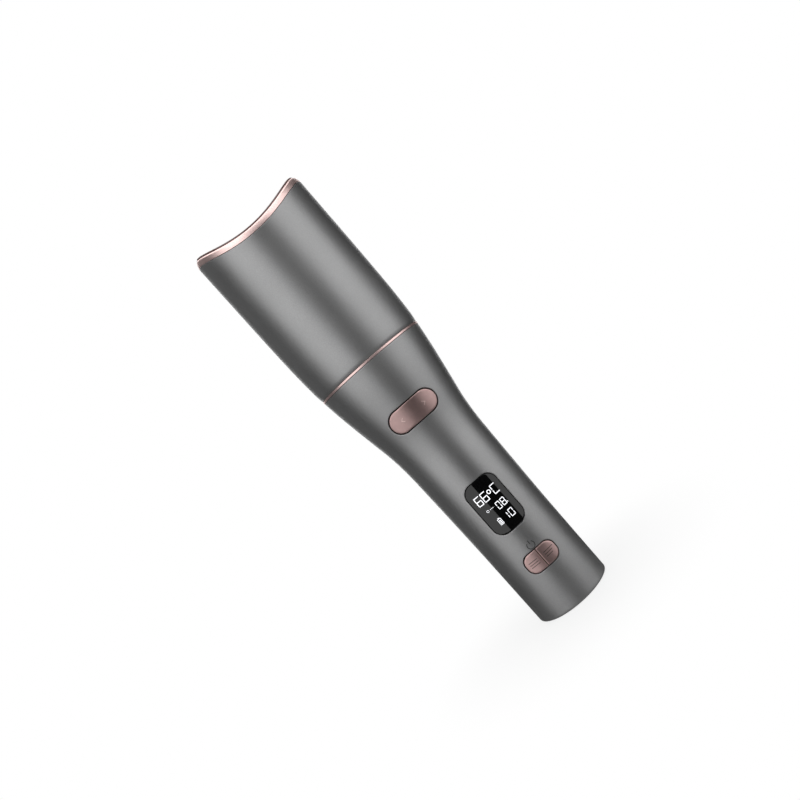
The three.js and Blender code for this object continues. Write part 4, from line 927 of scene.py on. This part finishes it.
def add_power_symbol():
    """The usual open circle and bar, printed just above the keys."""
    radius, line, lowered = 1.65 * MM, 0.34 * MM, 3.6 * MM
    z = (WINDOW[0].z + KEYS_CENTRE[1] + KEYS_SIZE[1] / 2) / 2 - lowered
    opening_angle = math.radians(38)
    turns = spread(opening_angle, 2 * math.pi - opening_angle, 40)
    arc = [(radius * math.sin(a), z + radius * math.cos(a)) for a in turns]
    bar = [(0, z + 0.5 * MM), (0, z + 2.3 * MM)]
    outlines = [stroke(arc, line), stroke(bar, line)]
    made = mark("power_symbol", outlines, MARK_PROUD, MARK_DEPTH, PRINT)
    stands_for(made, "body", "component_black")


READOUT = 0.95 * MM  # the unit that the readout is laid out in
# Which of the seven bars a digit lights, in the order of ends in digit().
BARS = {"0": "1110111", "1": "0010010", "6": "1101111", "8": "1111111", "C": "1100101"}


def digit(symbol, left, low, width, height, line):
    """Outlines of one seven-bar digit."""
    x0, x1 = left + line / 2, left + width - line / 2
    z0, z1 = low + line / 2, low + height - line / 2
    middle = (z0 + z1) / 2
    cut = line * 0.28  # how far a level bar runs past its ends
    upright = line / 2 + 0.05 * MM  # how far an upright bar stops short of its ends
    ends = [
        [(x0, z1), (x1, z1)],
        [(x0, middle), (x0, z1)],
        [(x1, middle), (x1, z1)],
        [(x0, middle), (x1, middle)],
        [(x0, z0), (x0, middle)],
        [(x1, z0), (x1, middle)],
        [(x0, z0), (x1, z0)],
    ]
    outlines = []
    for lit, ((ax, az), (bx, bz)) in zip(BARS[symbol], ends):
        if lit == "1":
            if az == bz:
                outlines.append(stroke([(ax - cut, az), (bx + cut, bz)], line))
            else:
                outlines.append(stroke([(ax, az + upright), (bx, bz - upright)], line))
    return outlines


def add_readout():
    """Generic digits, a degree sign, a clock and a battery, as lit segments on the pane."""
    cz = WINDOW_CENTRE[1]
    big, small = 0.36 * MM, 0.31 * MM
    outlines = []
    rows = [
        ("6", -5.9, 3.0, 2.7, 4.5, big),
        ("6", -2.65, 3.0, 2.7, 4.5, big),
        ("C", 2.95, 3.0, 2.65, 4.5, big),
        ("0", 0.0, -3.0, 1.95, 3.5, small),
        ("8", 2.55, -3.0, 2.05, 3.5, small),
        ("1", -0.3, -8.75, 1.65, 3.6, small),
        ("0", 2.15, -8.75, 2.15, 3.6, small),
    ]
    for symbol, left, low, width, height, line in rows:
        corner_x, corner_z = left * READOUT, cz + low * READOUT
        outlines += digit(symbol, corner_x, corner_z, width * READOUT, height * READOUT, line)

    def placed(points):
        return [(x * READOUT, cz + z * READOUT) for x, z in points]

    def loop(x, z, width, height, steps):
        slit = 0.01  # the line stops just short of where it began
        turns = spread(slit, 2 * math.pi - slit, steps)
        return placed([(x + width * math.cos(a), z + height * math.sin(a)) for a in turns])

    outlines.append(stroke(loop(1.45, 5.8, 0.75, 0.8, 25), big))
    outlines.append(stroke(loop(-4.3, -0.4, 0.5, 0.5, 21), 0.17 * MM))
    for x in (-3.2, -2.5, -1.8):
        outlines.append(stroke(placed([(x, -0.4), (x + 0.42, -0.4)]), 0.26 * MM))
    low, high = -8.5, -5.75
    case = [(-3.0, low), (-3.75, low), (-3.75, high), (-2.25, high), (-2.25, low), (-3.02, low)]
    outlines.append(stroke(placed(case), 0.22 * MM))
    outlines.append(stroke(placed([(-3.0, -5.6), (-3.0, -5.25)]), 0.6 * MM))
    for z in (-7.95, -7.3, -6.65):
        outlines.append(stroke(placed([(-3.42, z), (-2.58, z)]), 0.4 * MM))
    outlines.append(stroke(placed([(4.95, -2.8), (4.95, -2.35)]), 0.34 * MM))
    made = mark("display_segments", outlines, -0.03 * MM, 0.1 * MM, LIT)
    stands_for(made, "body", "display_pane")


# ---- Stage, light and camera ----

def build_stage():
    """A pale round floor that fades to white, a card that only reflections see, and a white world.

    The floor and the world are white to the camera alone, so that the lamps light the curler.
    """
    reach = 3.0
    rings = [0.0, 0.05, 0.1, 0.2, 0.4, 0.8, 1.6, reach]
    sides = 64
    vertices = [(0, 0, 0)]
    for radius in rings[1:]:
        vertices += [around(radius, 2 * math.pi * i / sides, 0) for i in range(sides)]
    faces = [(0, 1 + i, 1 + (i + 1) % sides) for i in range(sides)]
    for k in range(len(rings) - 2):
        a, b = 1 + k * sides, 1 + (k + 1) * sides
        faces += [(a + i, b + i, b + (i + 1) % sides, a + (i + 1) % sides) for i in range(sides)]
    material = bpy.data.materials.new("pale_floor")
    material.use_nodes = True
    tree = material.node_tree
    tree.nodes.clear()
    output = tree.nodes.new("ShaderNodeOutputMaterial")
    matt = tree.nodes.new("ShaderNodeBsdfDiffuse")
    matt.inputs["Color"].default_value = (0.6, 0.6, 0.6, 1)
    glow = tree.nodes.new("ShaderNodeEmission")
    glow.inputs["Strength"].default_value = 1.0
    path = tree.nodes.new("ShaderNodeLightPath")
    place = tree.nodes.new("ShaderNodeTexCoord")
    length = tree.nodes.new("ShaderNodeVectorMath")
    length.operation = "LENGTH"
    fade = tree.nodes.new("ShaderNodeMapRange")
    fade.interpolation_type = "SMOOTHSTEP"
    shade, shade_reach = 0.8, 85 * MM  # the floor's tone under the base, and where it has faded to white
    for socket, value in zip(RANGE_SOCKETS, (0.0, shade_reach, shade, 1.0)):
        fade.inputs[socket].default_value = value
    seen = tree.nodes.new("ShaderNodeMath")
    seen.operation = "MULTIPLY"
    mix = tree.nodes.new("ShaderNodeMixShader")
    links = tree.links
    links.new(place.outputs["Object"], length.inputs[0])
    links.new(length.outputs["Value"], fade.inputs["Value"])
    links.new(fade.outputs["Result"], seen.inputs[0])
    links.new(path.outputs["Is Camera Ray"], seen.inputs[1])
    links.new(seen.outputs["Value"], mix.inputs["Fac"])
    links.new(matt.outputs["BSDF"], mix.inputs[1])
    links.new(glow.outputs["Emission"], mix.inputs[2])
    links.new(mix.outputs["Shader"], output.inputs["Surface"])
    floor = new_object("floor", vertices, faces, material)
    floor.location.z = -0.05 * MM
    floor.visible_glossy = False  # the lamps show in the metal as they would in a light tent
    floor.visible_shadow = False

    card_radius, card_depth = 0.6, 0.2
    corners = [around(card_radius, 2 * math.pi * i / sides, 0) for i in range(sides)]
    paper = moulded("grey_paper", (0.4, 0.4, 0.4), 0.9, 900)
    card = new_object("reflector_card", corners, [tuple(range(sides))], paper)
    card.location.z = -card_depth
    card.visible_camera = False  # it only brightens what the metal shows of the ground
    card.visible_shadow = False

    world = bpy.data.worlds.new("white_studio")
    bpy.context.scene.world = world
    world.use_nodes = True
    tree = world.node_tree
    tree.nodes.clear()
    output = tree.nodes.new("ShaderNodeOutputWorld")
    dim = tree.nodes.new("ShaderNodeBackground")
    dim.inputs["Color"].default_value = (0.03, 0.03, 0.03, 1)
    white = tree.nodes.new("ShaderNodeBackground")
    white.inputs["Color"].default_value = (1, 1, 1, 1)
    path = tree.nodes.new("ShaderNodeLightPath")
    either = tree.nodes.new("ShaderNodeMath")
    either.operation = "MAXIMUM"
    mix = tree.nodes.new("ShaderNodeMixShader")
    links = tree.links
    links.new(path.outputs["Is Camera Ray"], either.inputs[0])
    links.new(path.outputs["Is Transmission Ray"], either.inputs[1])
    links.new(either.outputs["Value"], mix.inputs["Fac"])
    links.new(dim.outputs["Background"], mix.inputs[1])
    links.new(white.outputs["Background"], mix.inputs[2])
    links.new(mix.outputs["Shader"], output.inputs["Surface"])


LEVEL_HEIGHT = 0.5  # lamps up to this height shine level, a higher one shines down


def softbox(name, angle, distance, height, size, radiance):
    """A rectangular lamp that stands at an angle round the object and faces its axis."""
    lamp = bpy.data.lights.new(name, "AREA")
    lamp.shape = "RECTANGLE"
    lamp.size, lamp.size_y = size
    lamp.energy = radiance * math.pi * size[0] * size[1]
    holder = bpy.data.objects.new(name, lamp)
    bpy.context.scene.collection.objects.link(holder)
    turn = math.radians(angle)
    place = Vector(around(distance, turn, height))
    holder.location = place
    aim = Vector((0, 0, min(height, LEVEL_HEIGHT))) - place
    holder.rotation_mode = "QUATERNION"
    holder.rotation_quaternion = aim.to_track_quat("-Z", "Y")
    holder.visible_camera = False


def build_light():
    """Two tall lamps, whose gap gives the casing its dark stripe, then the rear, left edge and top."""
    softbox("left_softbox", -43, 0.75, 0.475, (0.866, 1.35), 1.32)
    softbox("right_softbox", 62.5, 0.75, 0.475, (0.85, 1.35), 1.3)
    softbox("rear_softbox", 180, 0.8, 0.45, (0.8, 1.2), 2.0)
    softbox("rear_left_softbox", -128, 0.8, 0.45, (0.5, 1.2), 0.15)
    softbox("top_softbox", 0, 0.02, 1.0, (1.3, 1.3), 1.7)


def build_camera():
    """Level with the middle of the curler, close in, and rolled so that the mouth leans to the left."""
    lens, sensor = 37.35, 36.0
    distance, height, aside = 351.8 * MM, 109.7 * MM, -1.0 * MM
    roll = math.radians(41.35)
    data = bpy.data.cameras.new("camera")
    data.sensor_width = sensor
    data.lens = lens
    data.clip_start, data.clip_end = 0.01, 20
    camera = bpy.data.objects.new("camera", data)
    bpy.context.scene.collection.objects.link(camera)
    level = Matrix.Rotation(math.pi / 2, 4, "X")
    rolled = Matrix.Rotation(-roll, 4, "Z")
    camera.matrix_world = Matrix.Translation((aside, -distance, height)) @ level @ rolled
    bpy.context.scene.camera = camera


paint_cad_nodes()
build_chamber()
build_barrel()
build_rotor()
build_front_shell()
build_rear_shell()
build_controls()
build_stage()
build_light()
build_camera()
bpy.context.scene.view_settings.view_transform = "Standard"
